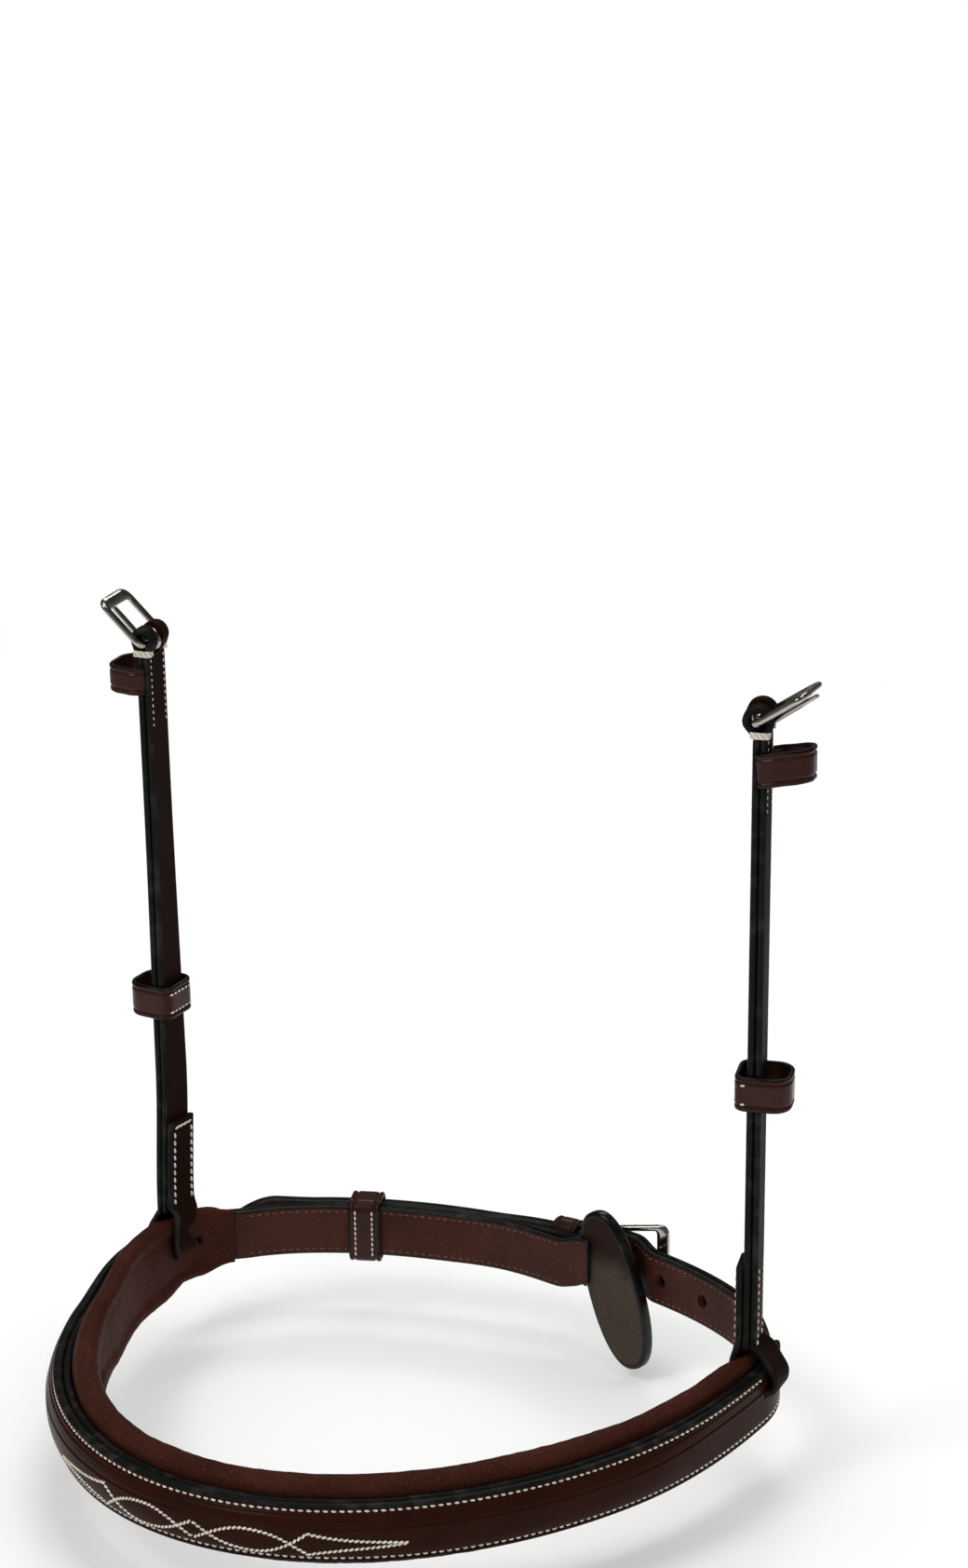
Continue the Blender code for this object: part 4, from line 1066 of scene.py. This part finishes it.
def loopKeeper(name, nodeName, body, matrix, low, high, room, height, frontCorner):
    # A closed loop of leather; low and high are its inner faces, room the space across
    t = keeper["ply"] / 2
    outline = roundBox(low - t, high + t, room / 2 + t, keeper["corner"], frontCorner)
    a, b, mark = keeperProfile(height)
    grid = ribbonGrid(np.column_stack((outline, 0 * outline[:, 0])), (0, 0, 1.0), a, b, closed=True)
    settle(skin(name, toWorld(matrix, grid), keeperFinish, closed=True, edge=mark), body, nodeName)


def frameBuckle(name, nodeName, body, matrix, room, length, skew=0.0):
    # A rounded rectangle of wire, round at the hinge bar and sides and flattened at the outer bar
    side, corner, power = wire["side"], wire["corner"], wire["squareness"]
    along, across = roundBox(0.0, length, room / 2 + side, corner, corner, straight=12).T
    path = np.stack((0 * along, across, along), -1)
    through = np.array([1.0, 0, 0])
    outward = np.cross(runOf(path, True), through)
    thick = side + (wire["bar"] - side) * ease(-along, -corner, corner)
    wide = thick + (wire["wideEnd"] - side) * ease(along, length - corner, corner)
    turn = np.linspace(0, 2 * math.pi, 20, endpoint=False)
    soft = 1 / (np.abs(np.cos(turn)) ** power + np.abs(np.sin(turn)) ** power) ** (1 / power)
    grid = (path[:, None] + outward[:, None] * (np.cos(turn) * soft)[:, None] * wide[:, None, None]
            + through * (np.sin(turn) * soft)[:, None] * thick[:, None, None])
    grid[..., 1] += skew * grid[..., 2] / length
    settle(skin(name, toWorld(matrix, grid), steelFinish, closed=True, sharp=60.0), body, nodeName)


def tongue(name, nodeName, body, matrix, knots):
    path = smoothPath(knots, 0.5)
    left = np.linalg.norm(path - path[-1], axis=1)
    thin = np.sqrt(np.clip(1 - (1 - np.clip(left / 0.8, 0, 1)) ** 2, 0.02, 1))
    taper = 0.72 + 0.28 * np.clip(left / 9.0, 0, 1)
    settle(tube(name, toWorld(matrix, path), wire["tongue"] * thin * taper, steelFinish), body, nodeName)


def circleKnots(radius, start, end):
    return [(radius * math.cos(t), 0.0, radius * math.sin(t)) for t in angles(start, end, 13)]


def sewKeeper(name, body, matrix, low, room, levels, inset, count, length, corner=None):
    # Two rows across a keeper's inner face, and a stitch of each round the corner where it has one
    face, side = low - keeper["ply"] - 0.02, -room / 2 - keeper["ply"] - 0.02
    across = np.linspace(-room / 2 + inset, room / 2 - inset, count)
    rows = [((face, y, z), (0, 1, 0), (-1, 0, 0)) for z in levels for y in across]
    if corner:
        rows += [((low + corner, side, z), (1, 0, 0), (0, -1, 0)) for z in levels]
    made = sewLocal(name, matrix, *zip(*rows), keeperThread, length=length, thick=0.36, slant=0.1)
    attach(made, body)


def sewLocal(name, matrix, spots, runs, normals, finish, facts=None, **sizes):
    # Sews in a piece's own frame; facts are those of the strap whose twist the stitches follow
    spots = np.array(spots, float)

    def placed(points):
        return toWorld(matrix, twisted(facts, points, spots[:, 2]) if facts else points)

    places = placed(spots)
    along, outward = (placed(spots + np.array(way, float)) - places for way in (runs, normals))
    return sew(name, places, along, outward, finish, **sizes)


back = {"tilt": 19.5, "up": 0.5, "room": 22.5, "length": 18.7, "skew": 2.6, "tongueReach": 9.9, "bend": 1.6,
        "overhang": 2.6, "clear": 0.6, "wrap": 2.55, "keeperMargin": 1.0, "fixedAfter": 23.0,
        "fixedHeight": 10.0, "looseArc": 290.0, "looseHeight": 11.5, "rowLevels": (-3.2, 2.9)}


def makeBackFittings():
    upright = Matrix(((1, 0, 0, 0), (0, 0, -1, 0), (0, 1, 0, 0), (0, 0, 0, 1)))
    seat = bandFrame(jaw["buckleArc"], jaw["barOut"], bandMiddle, 1)
    tilt = math.radians(back["tilt"])
    hinge = Matrix.Translation((0, 0, back["up"])) @ seat @ upright @ Matrix.Rotation(tilt, 4, "Y")
    frameBuckle("backBuckleFrame", "back_buckle_frame", "back_buckle", hinge, back["room"], back["length"],
                back["skew"])
    # The tongue goes round the bar, out through the billet's hole and along it to lie on the frame
    endOut = back["length"] * math.sin(tilt) + wire["side"] + back["clear"] + wire["tongue"]
    endAlong = back["length"] * math.cos(tilt)
    out, bend, wrap = back["tongueReach"], back["bend"], back["wrap"]
    knots = circleKnots(wrap, 340, 90)
    knots += [(x, 0, z) for x, z in (
        (out / 2, wrap), (out - bend, wrap), (out - 0.3, wrap + 0.4 * bend), (out, wrap + bend),
        (out, wrap + 3 * bend), (endOut, endAlong - wire["side"]), (endOut, endAlong + back["overhang"]))]
    tongue("backBuckleTongue", "back_buckle_tongue", "back_buckle", seat @ upright, knots)
    quarter = Matrix.Rotation(math.pi / 2, 4, "X")
    ply, margin = jaw["ply"], back["keeperMargin"]
    room = jaw["height"] + 2 * margin
    fixedArc, looseArc = jaw["buckleArc"] + back["fixedAfter"], ringLength - back["looseArc"]
    loopKeeper("backFixedKeeper", "back_fixed_keeper", "noseband",
               bandFrame(fixedArc, 0, bandMiddle, 1) @ quarter,
               keeper["ply"] - liningLow, float(billetShift(fixedArc)) + ply + margin, room,
               back["fixedHeight"], keeper["corner"])
    matrix, low = bandFrame(looseArc, 0, bandMiddle, 1) @ quarter, liningLow - margin
    loopKeeper("backLooseKeeper", "back_loose_keeper", "back_keeper", matrix, low, jaw["lay"] + ply + margin,
               room, back["looseHeight"], keeper["corner"])
    sewKeeper("backKeeperStitches", "back_keeper", matrix, low, room, back["rowLevels"], 2.4, 9, 1.7)


makeBackFittings()
print("back fittings made")


# Cheek straps: each one is a single strap that leaves its tab, goes down inside the band, out through
# the slit, up the outside and round the buckle's bar

cheek = {"arc": 220.0, "width": 12.9, "ply": 2.3, "foldHeight": 31.5, "lean": 2.0, "layer": 2.6,
         "chape": 30.0, "neck": 4.2, "barAt": 1.3, "slotHalf": 2.0, "slotReach": 4.2,
         "strapOut": -2.0, "liningFrom": -3.0,
         # The turn round the band from inside to outside: out, up and the share of sink and lead
         "turn": ((-6.5, 24.6, 0.5), (-7.4, 21.0, 0.9), (-7.4, 17.6, 1.0), (-7.4, 14.8, 0.9),
                  (-6.5, 12.5, 0.6), (-4.4, 11.5, 0.3), (0.0, 11.5, 0.0), (4.35, 11.5, 0.0),
                  (6.75, 12.3, 0.0), (7.65, 14.6, 0.0), (7.35, 17.4, 0.0), (5.15, 21.0, 0.0),
                  (2.55, 25.0, 0.0)),
         "dip": (-7.4, 17.0), "dipReach": 6.5, "bowOver": (-4.0, 56.0), "twistOver": (10.0, 150.0),
         "wrapLevels": (-2.4, -3.15, -3.9), "wrapThread": 0.4,
         "lowerHeight": 12.0, "lowerDepth": 8.0, "margin": 0.4, "rowLevels": (-3.3, 3.3),
         "buckleLength": 19.0, "tongueRest": 2.35, "rowInset": 1.95, "blendLow": -7.0, "blendHigh": 7.0}
strapFace = cheek["layer"] + cheek["ply"] / 2
sides = {
    "near": {"hand": 1, "bar": 247.0, "keeper": 121.0, "shift": -1.6, "turn": 10.0, "splay": 0.8,
             "tilt": 55.0, "tab": 26.2, "drop": 14.7, "room": 13.0, "climb": 10.0, "sag": 10.0, "slack": 2.2,
             "twist": (0.0, 0.0), "bow": (0.0, 0.0), "sink": 0.0, "lead": 0.0, "yaw": -13.0,
             "upperHeight": 11.4, "fold": (0.45, 1.2, 3.95), "hinge": (0.9, 0.6), "pinch": 0.0},
    "far": {"hand": -1, "bar": 241.3, "keeper": 110.0, "shift": 1.8, "turn": 8.2, "splay": -0.4,
            "tilt": 46.0, "tab": 32.2, "drop": 12.9, "room": 10.0, "climb": 0.0, "sag": 0.0, "slack": 1.4,
            "twist": (-6.0, 13.0), "bow": (3.0, -2.1), "sink": -22.0, "lead": 6.2, "yaw": 0.0,
            "upperHeight": 9.8, "fold": (1.15, 1.5, 3.3), "hinge": (0.4, 0.0), "pinch": 0.32},
}


def cheekFrame(facts):
    hand = facts["hand"]
    over, above = (float(v) for v in sway(hand * cheek["arc"]))
    up = cheek["foldHeight"] - float(rise(cheek["arc"])) - above
    seat = bandFrame(hand * cheek["arc"], cheek["strapOut"] + facts["shift"] - over, up, 1)
    for degrees, axis in ((facts["turn"], "Z"), (hand * cheek["lean"], "X"), (facts["splay"], "Y")):
        seat = seat @ Matrix.Rotation(math.radians(degrees), 4, axis)
    return seat


def bowed(facts, z):
    # How far outwards a strap stands from its solid's straight line
    low, more = facts["bow"]
    return low + more * ease(z, *cheek["bowOver"])


def twistAt(facts, z):
    low, more = facts["twist"]
    return np.radians(low + more * ease(z, *cheek["twistOver"]))


def twisted(facts, points, z=None):
    # Turns local points about the strap's length by an angle that grows with height
    points = np.asarray(points, float)
    z = points[..., 2] if z is None else z
    angle, mid = twistAt(facts, z), cheek["layer"] / 2
    c, s, x, y = np.cos(angle), np.sin(angle), points[..., 0] - mid, points[..., 1]
    return np.stack((mid + bowed(facts, z) + x * c - y * s, x * s + y * c, points[..., 2]), -1)


def cheekPath(facts, matrix, top):
    # Knots in world mm and the strap's across direction at each. In the turn, sink turns the strap
    # into the padding and lead moves it towards the nose.
    hand, layer = facts["hand"], cheek["layer"]
    arc = hand * cheek["arc"]
    run, away = bandRun(arc), bandOut(arc)
    knots, across = [], []

    def local(x, z):
        ends = toWorld(matrix, twisted(facts, [(x, 0, z), (x, 1, z)]))
        knots.append(ends[0])
        across.append(ends[1] - ends[0])

    for z in np.arange(facts["tab"], -1.5, -2.0):
        local(-layer, z)
    for out, up, share in cheek["turn"]:
        angle = math.radians(facts["sink"] * share)
        knots.append(onBand(arc, out, up) - run * facts["lead"] * share * hand)
        across.append(run * math.cos(angle) - away * math.sin(angle) * hand)
    for z in np.arange(-2.0, top - cheek["neck"] - 1.5, 3.0):
        local(layer, z)
    out, lift, radius = facts["fold"]
    for x, z in foldKnots(-cheek["chape"], -cheek["neck"], out, radius, layer, 0.0, lift):
        local(x, top + z)
    return np.concatenate((knots, np.array(across) * 10), 1)


def makeCheek(side, facts):
    matrix = cheekFrame(facts)
    body = side + "_cheek"
    top = facts["bar"] - cheek["foldHeight"]
    path, across = np.hsplit(smoothPath(cheekPath(facts, matrix, top), 0.85), 2)
    a, b, mark = strapProfile(cheek["width"], cheek["ply"], step=0.5, roundness=0.45)
    # Narrower where it dips into the padding inside the band
    dip = onBand(facts["hand"] * cheek["arc"], *cheek["dip"])
    narrow = np.exp(-(np.linalg.norm(path - dip, axis=1) / cheek["dipReach"]) ** 4)
    grid = ribbonGrid(path, across, a, b, 1 - facts["pinch"] * narrow)
    strap = skin(side + "CheekStrap", grid, strapFinish, edge=mark)
    reachOut, half = sum(facts["fold"][1:]) + cheek["ply"], cheek["slotHalf"]
    metres = matrix.copy()
    metres.translation *= mm
    atBar = metres @ Matrix.Translation((cheek["barAt"] * mm, 0, top * mm))
    cutOut(strap, (-reachOut, -half, -cheek["slotReach"]), (reachOut, half, reachOut), atBar)
    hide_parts(side + "_cheek_strap", side + "_cheek_loop")
    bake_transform(strap)

    rows = np.linspace(cheek["liningFrom"], top - cheek["chape"] - 0.05, 90)[:, None]
    grid = np.stack(np.broadcast_arrays(b, a, rows), -1)
    lining = skin(side + "CheekLining", toWorld(matrix, twisted(facts, grid)), strapFinish, edge=mark)
    settle(lining, body, side + "_cheek_lining")
    makeCheekRows(side, facts, matrix, body, top)
    makeWraps(side, facts, matrix, body, top)
    makeCheekKeepers(side, facts, matrix, body, top)
    makeCheekBuckle(side, facts, matrix, top)


def makeCheekRows(side, facts, matrix, body, top):
    half, tab = cheek["width"] / 2 - cheek["rowInset"], facts["tab"]
    inner = -cheek["ply"] / 2

    def rowsAt(x, ups):
        return [(x, y, z) for y in (-half, half) for z in ups]

    # The sewn tab: both long edges and across its top, bold inside and finer on the strap's face
    spots = rowsAt(-strapFace, np.arange(-1.5, tab - 2.2, 2.9))
    cross = [(-strapFace, y, tab - 1.9) for y in np.linspace(-half + 1.2, half - 1.2, 4)]
    runs = [(0, 0, 1)] * len(spots) + [(0, 1, 0)] * len(cross)
    rows = sewLocal(side + "TabStitches", matrix, spots + cross, runs, (-1, 0, 0), strapThread, facts,
                    length=2.6, thick=0.52, slant=0.2, sink=0.12)
    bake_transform(rows)
    rows = sewLocal(side + "StrapStitches", matrix, rowsAt(strapFace, np.arange(-1.0, tab + 1.0, 2.6)),
                    (0, 0, 1), (1, 0, 0), strapThread, facts, length=1.9, slant=-0.15)
    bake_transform(rows)
    # The chape below the buckle, sewn through all plies
    ups = np.arange(top - cheek["chape"] + 1.0, top - cheek["neck"] - 0.8, 2.3)
    for tag, x, facing in (("Inner", inner, -1), ("Outer", strapFace, 1)):
        rows = sewLocal(side + "Chape" + tag + "Stitches", matrix, rowsAt(x, ups), (0, 0, 1), (facing, 0, 0),
                        strapThread, facts, length=1.4, thick=0.32, slant=0.15)
        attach(rows, body)


def makeWraps(side, facts, matrix, body, top):
    # Under the fold waxed thread is wrapped over both edges, from one row of stitches to the other
    half = cheek["width"] / 2 - cheek["rowInset"]
    low, high = -cheek["ply"] / 2 - 0.6, strapFace + 0.45
    for tag, hand in (("Front", -1), ("Rear", 1)):
        edge = cheek["width"] / 2 + 0.3
        turn = ((low, half), (low + 0.1, edge - 0.6), (low + 0.8, edge),
                (high - 0.8, edge), (high - 0.1, edge - 0.6), (high, half))
        knots = [(x, hand * y, top + level) for number, level in enumerate(cheek["wrapLevels"])
                 for x, y in (turn[::-1] if number % 2 else turn)]
        path = toWorld(matrix, twisted(facts, smoothPath(knots, 0.35)))
        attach(tube(side + "Wrap" + tag, path, cheek["wrapThread"], strapThread, 8), body)


def makeCheekKeepers(side, facts, matrix, body, top):
    room = cheek["width"] + 2 * cheek["margin"]
    # Upper keeper: both ends sewn in at the strap's sides, the loop open in front
    half = room / 2 + keeper["ply"] / 2
    front = strapFace + facts["room"] + keeper["ply"] / 2
    loop = roundBox(-6.0, front, half, keeper["innerCorner"], keeper["frontCorner"], straight=14)
    loop = loop[loop[:, 0] > keeper["sewnFrom"]]
    loop = loop[np.argsort(np.arctan2(loop[:, 1], loop[:, 0] - 6.0))]
    ends = np.array([(x, inset - half) for x, inset in keeper["sewnEnds"]])
    x, y = np.concatenate((ends, loop, ends[::-1] * (1, -1))).T
    away = (x - front * keeper["bulgeAt"]) / (front * keeper["bulgeReach"])
    bulge = keeper["bulge"] * np.exp(-away ** 2)
    y = y + np.sign(y) * bulge
    climb, sag = (math.tan(math.radians(facts[k])) for k in ("climb", "sag"))
    lift = top - facts["drop"] + climb * (x - 0.8) - sag * (y + half)
    path = smoothPath(np.column_stack((x, y, lift)), keeper["step"])
    a, b, mark = keeperProfile(facts["upperHeight"])
    grid = ribbonGrid(path, (0, 0, 1.0), a, b, 1.0, roundedEnds(len(path), keeper["step"], 0.8))
    upper = skin(side + "UpperKeeper", toWorld(matrix, twisted(facts, grid, top)), keeperFinish, edge=mark)
    settle(upper, body, side + "_upper_keeper")

    height = facts["keeper"] - cheek["foldHeight"]
    middle = Matrix.Translation((cheek["layer"] / 2, 0, 0))
    over = Matrix.Translation((float(bowed(facts, height)), 0, height))
    turned = Matrix.Rotation(float(twistAt(facts, height)), 4, "Z")
    slide = matrix @ over @ middle @ turned @ middle.inverted()
    low = -cheek["ply"] / 2 - cheek["margin"] - facts["slack"]
    loopKeeper(side + "LowerKeeper", side + "_lower_keeper", side + "_keeper", slide, low,
               strapFace + cheek["lowerDepth"], room, cheek["lowerHeight"], keeper["frontCorner"])
    sewKeeper(side + "KeeperStitches", side + "_keeper", slide, low, room, cheek["rowLevels"], 1.6, 6, 1.6,
              corner=1.6)


def makeCheekBuckle(side, facts, matrix, top):
    out, lift = facts["hinge"]
    hinge = matrix @ Matrix.Translation((out + float(bowed(facts, top)), 0, top + lift))
    for degrees, axis in ((sum(facts["twist"]) + facts["yaw"], "Z"), (facts["tilt"], "Y")):
        hinge = hinge @ Matrix.Rotation(math.radians(degrees), 4, axis)
    length, rest, wrap = cheek["buckleLength"], cheek["tongueRest"], back["wrap"]
    frameBuckle(side + "BuckleFrame", side + "_buckle_frame", side + "_buckle", hinge,
                cheek["width"] + 1.0, length)
    knots = circleKnots(wrap, -250, 0)
    knots += [(wrap, 0, length * 0.3), (rest, 0, length * 0.8), (rest, 0, length), (rest, 0, length + 2.6)]
    tongue(side + "BuckleTongue", side + "_buckle_tongue", side + "_tongue", hinge, knots)


for side, facts in sides.items():
    makeCheek(side, facts)
    print(side, "cheek made")
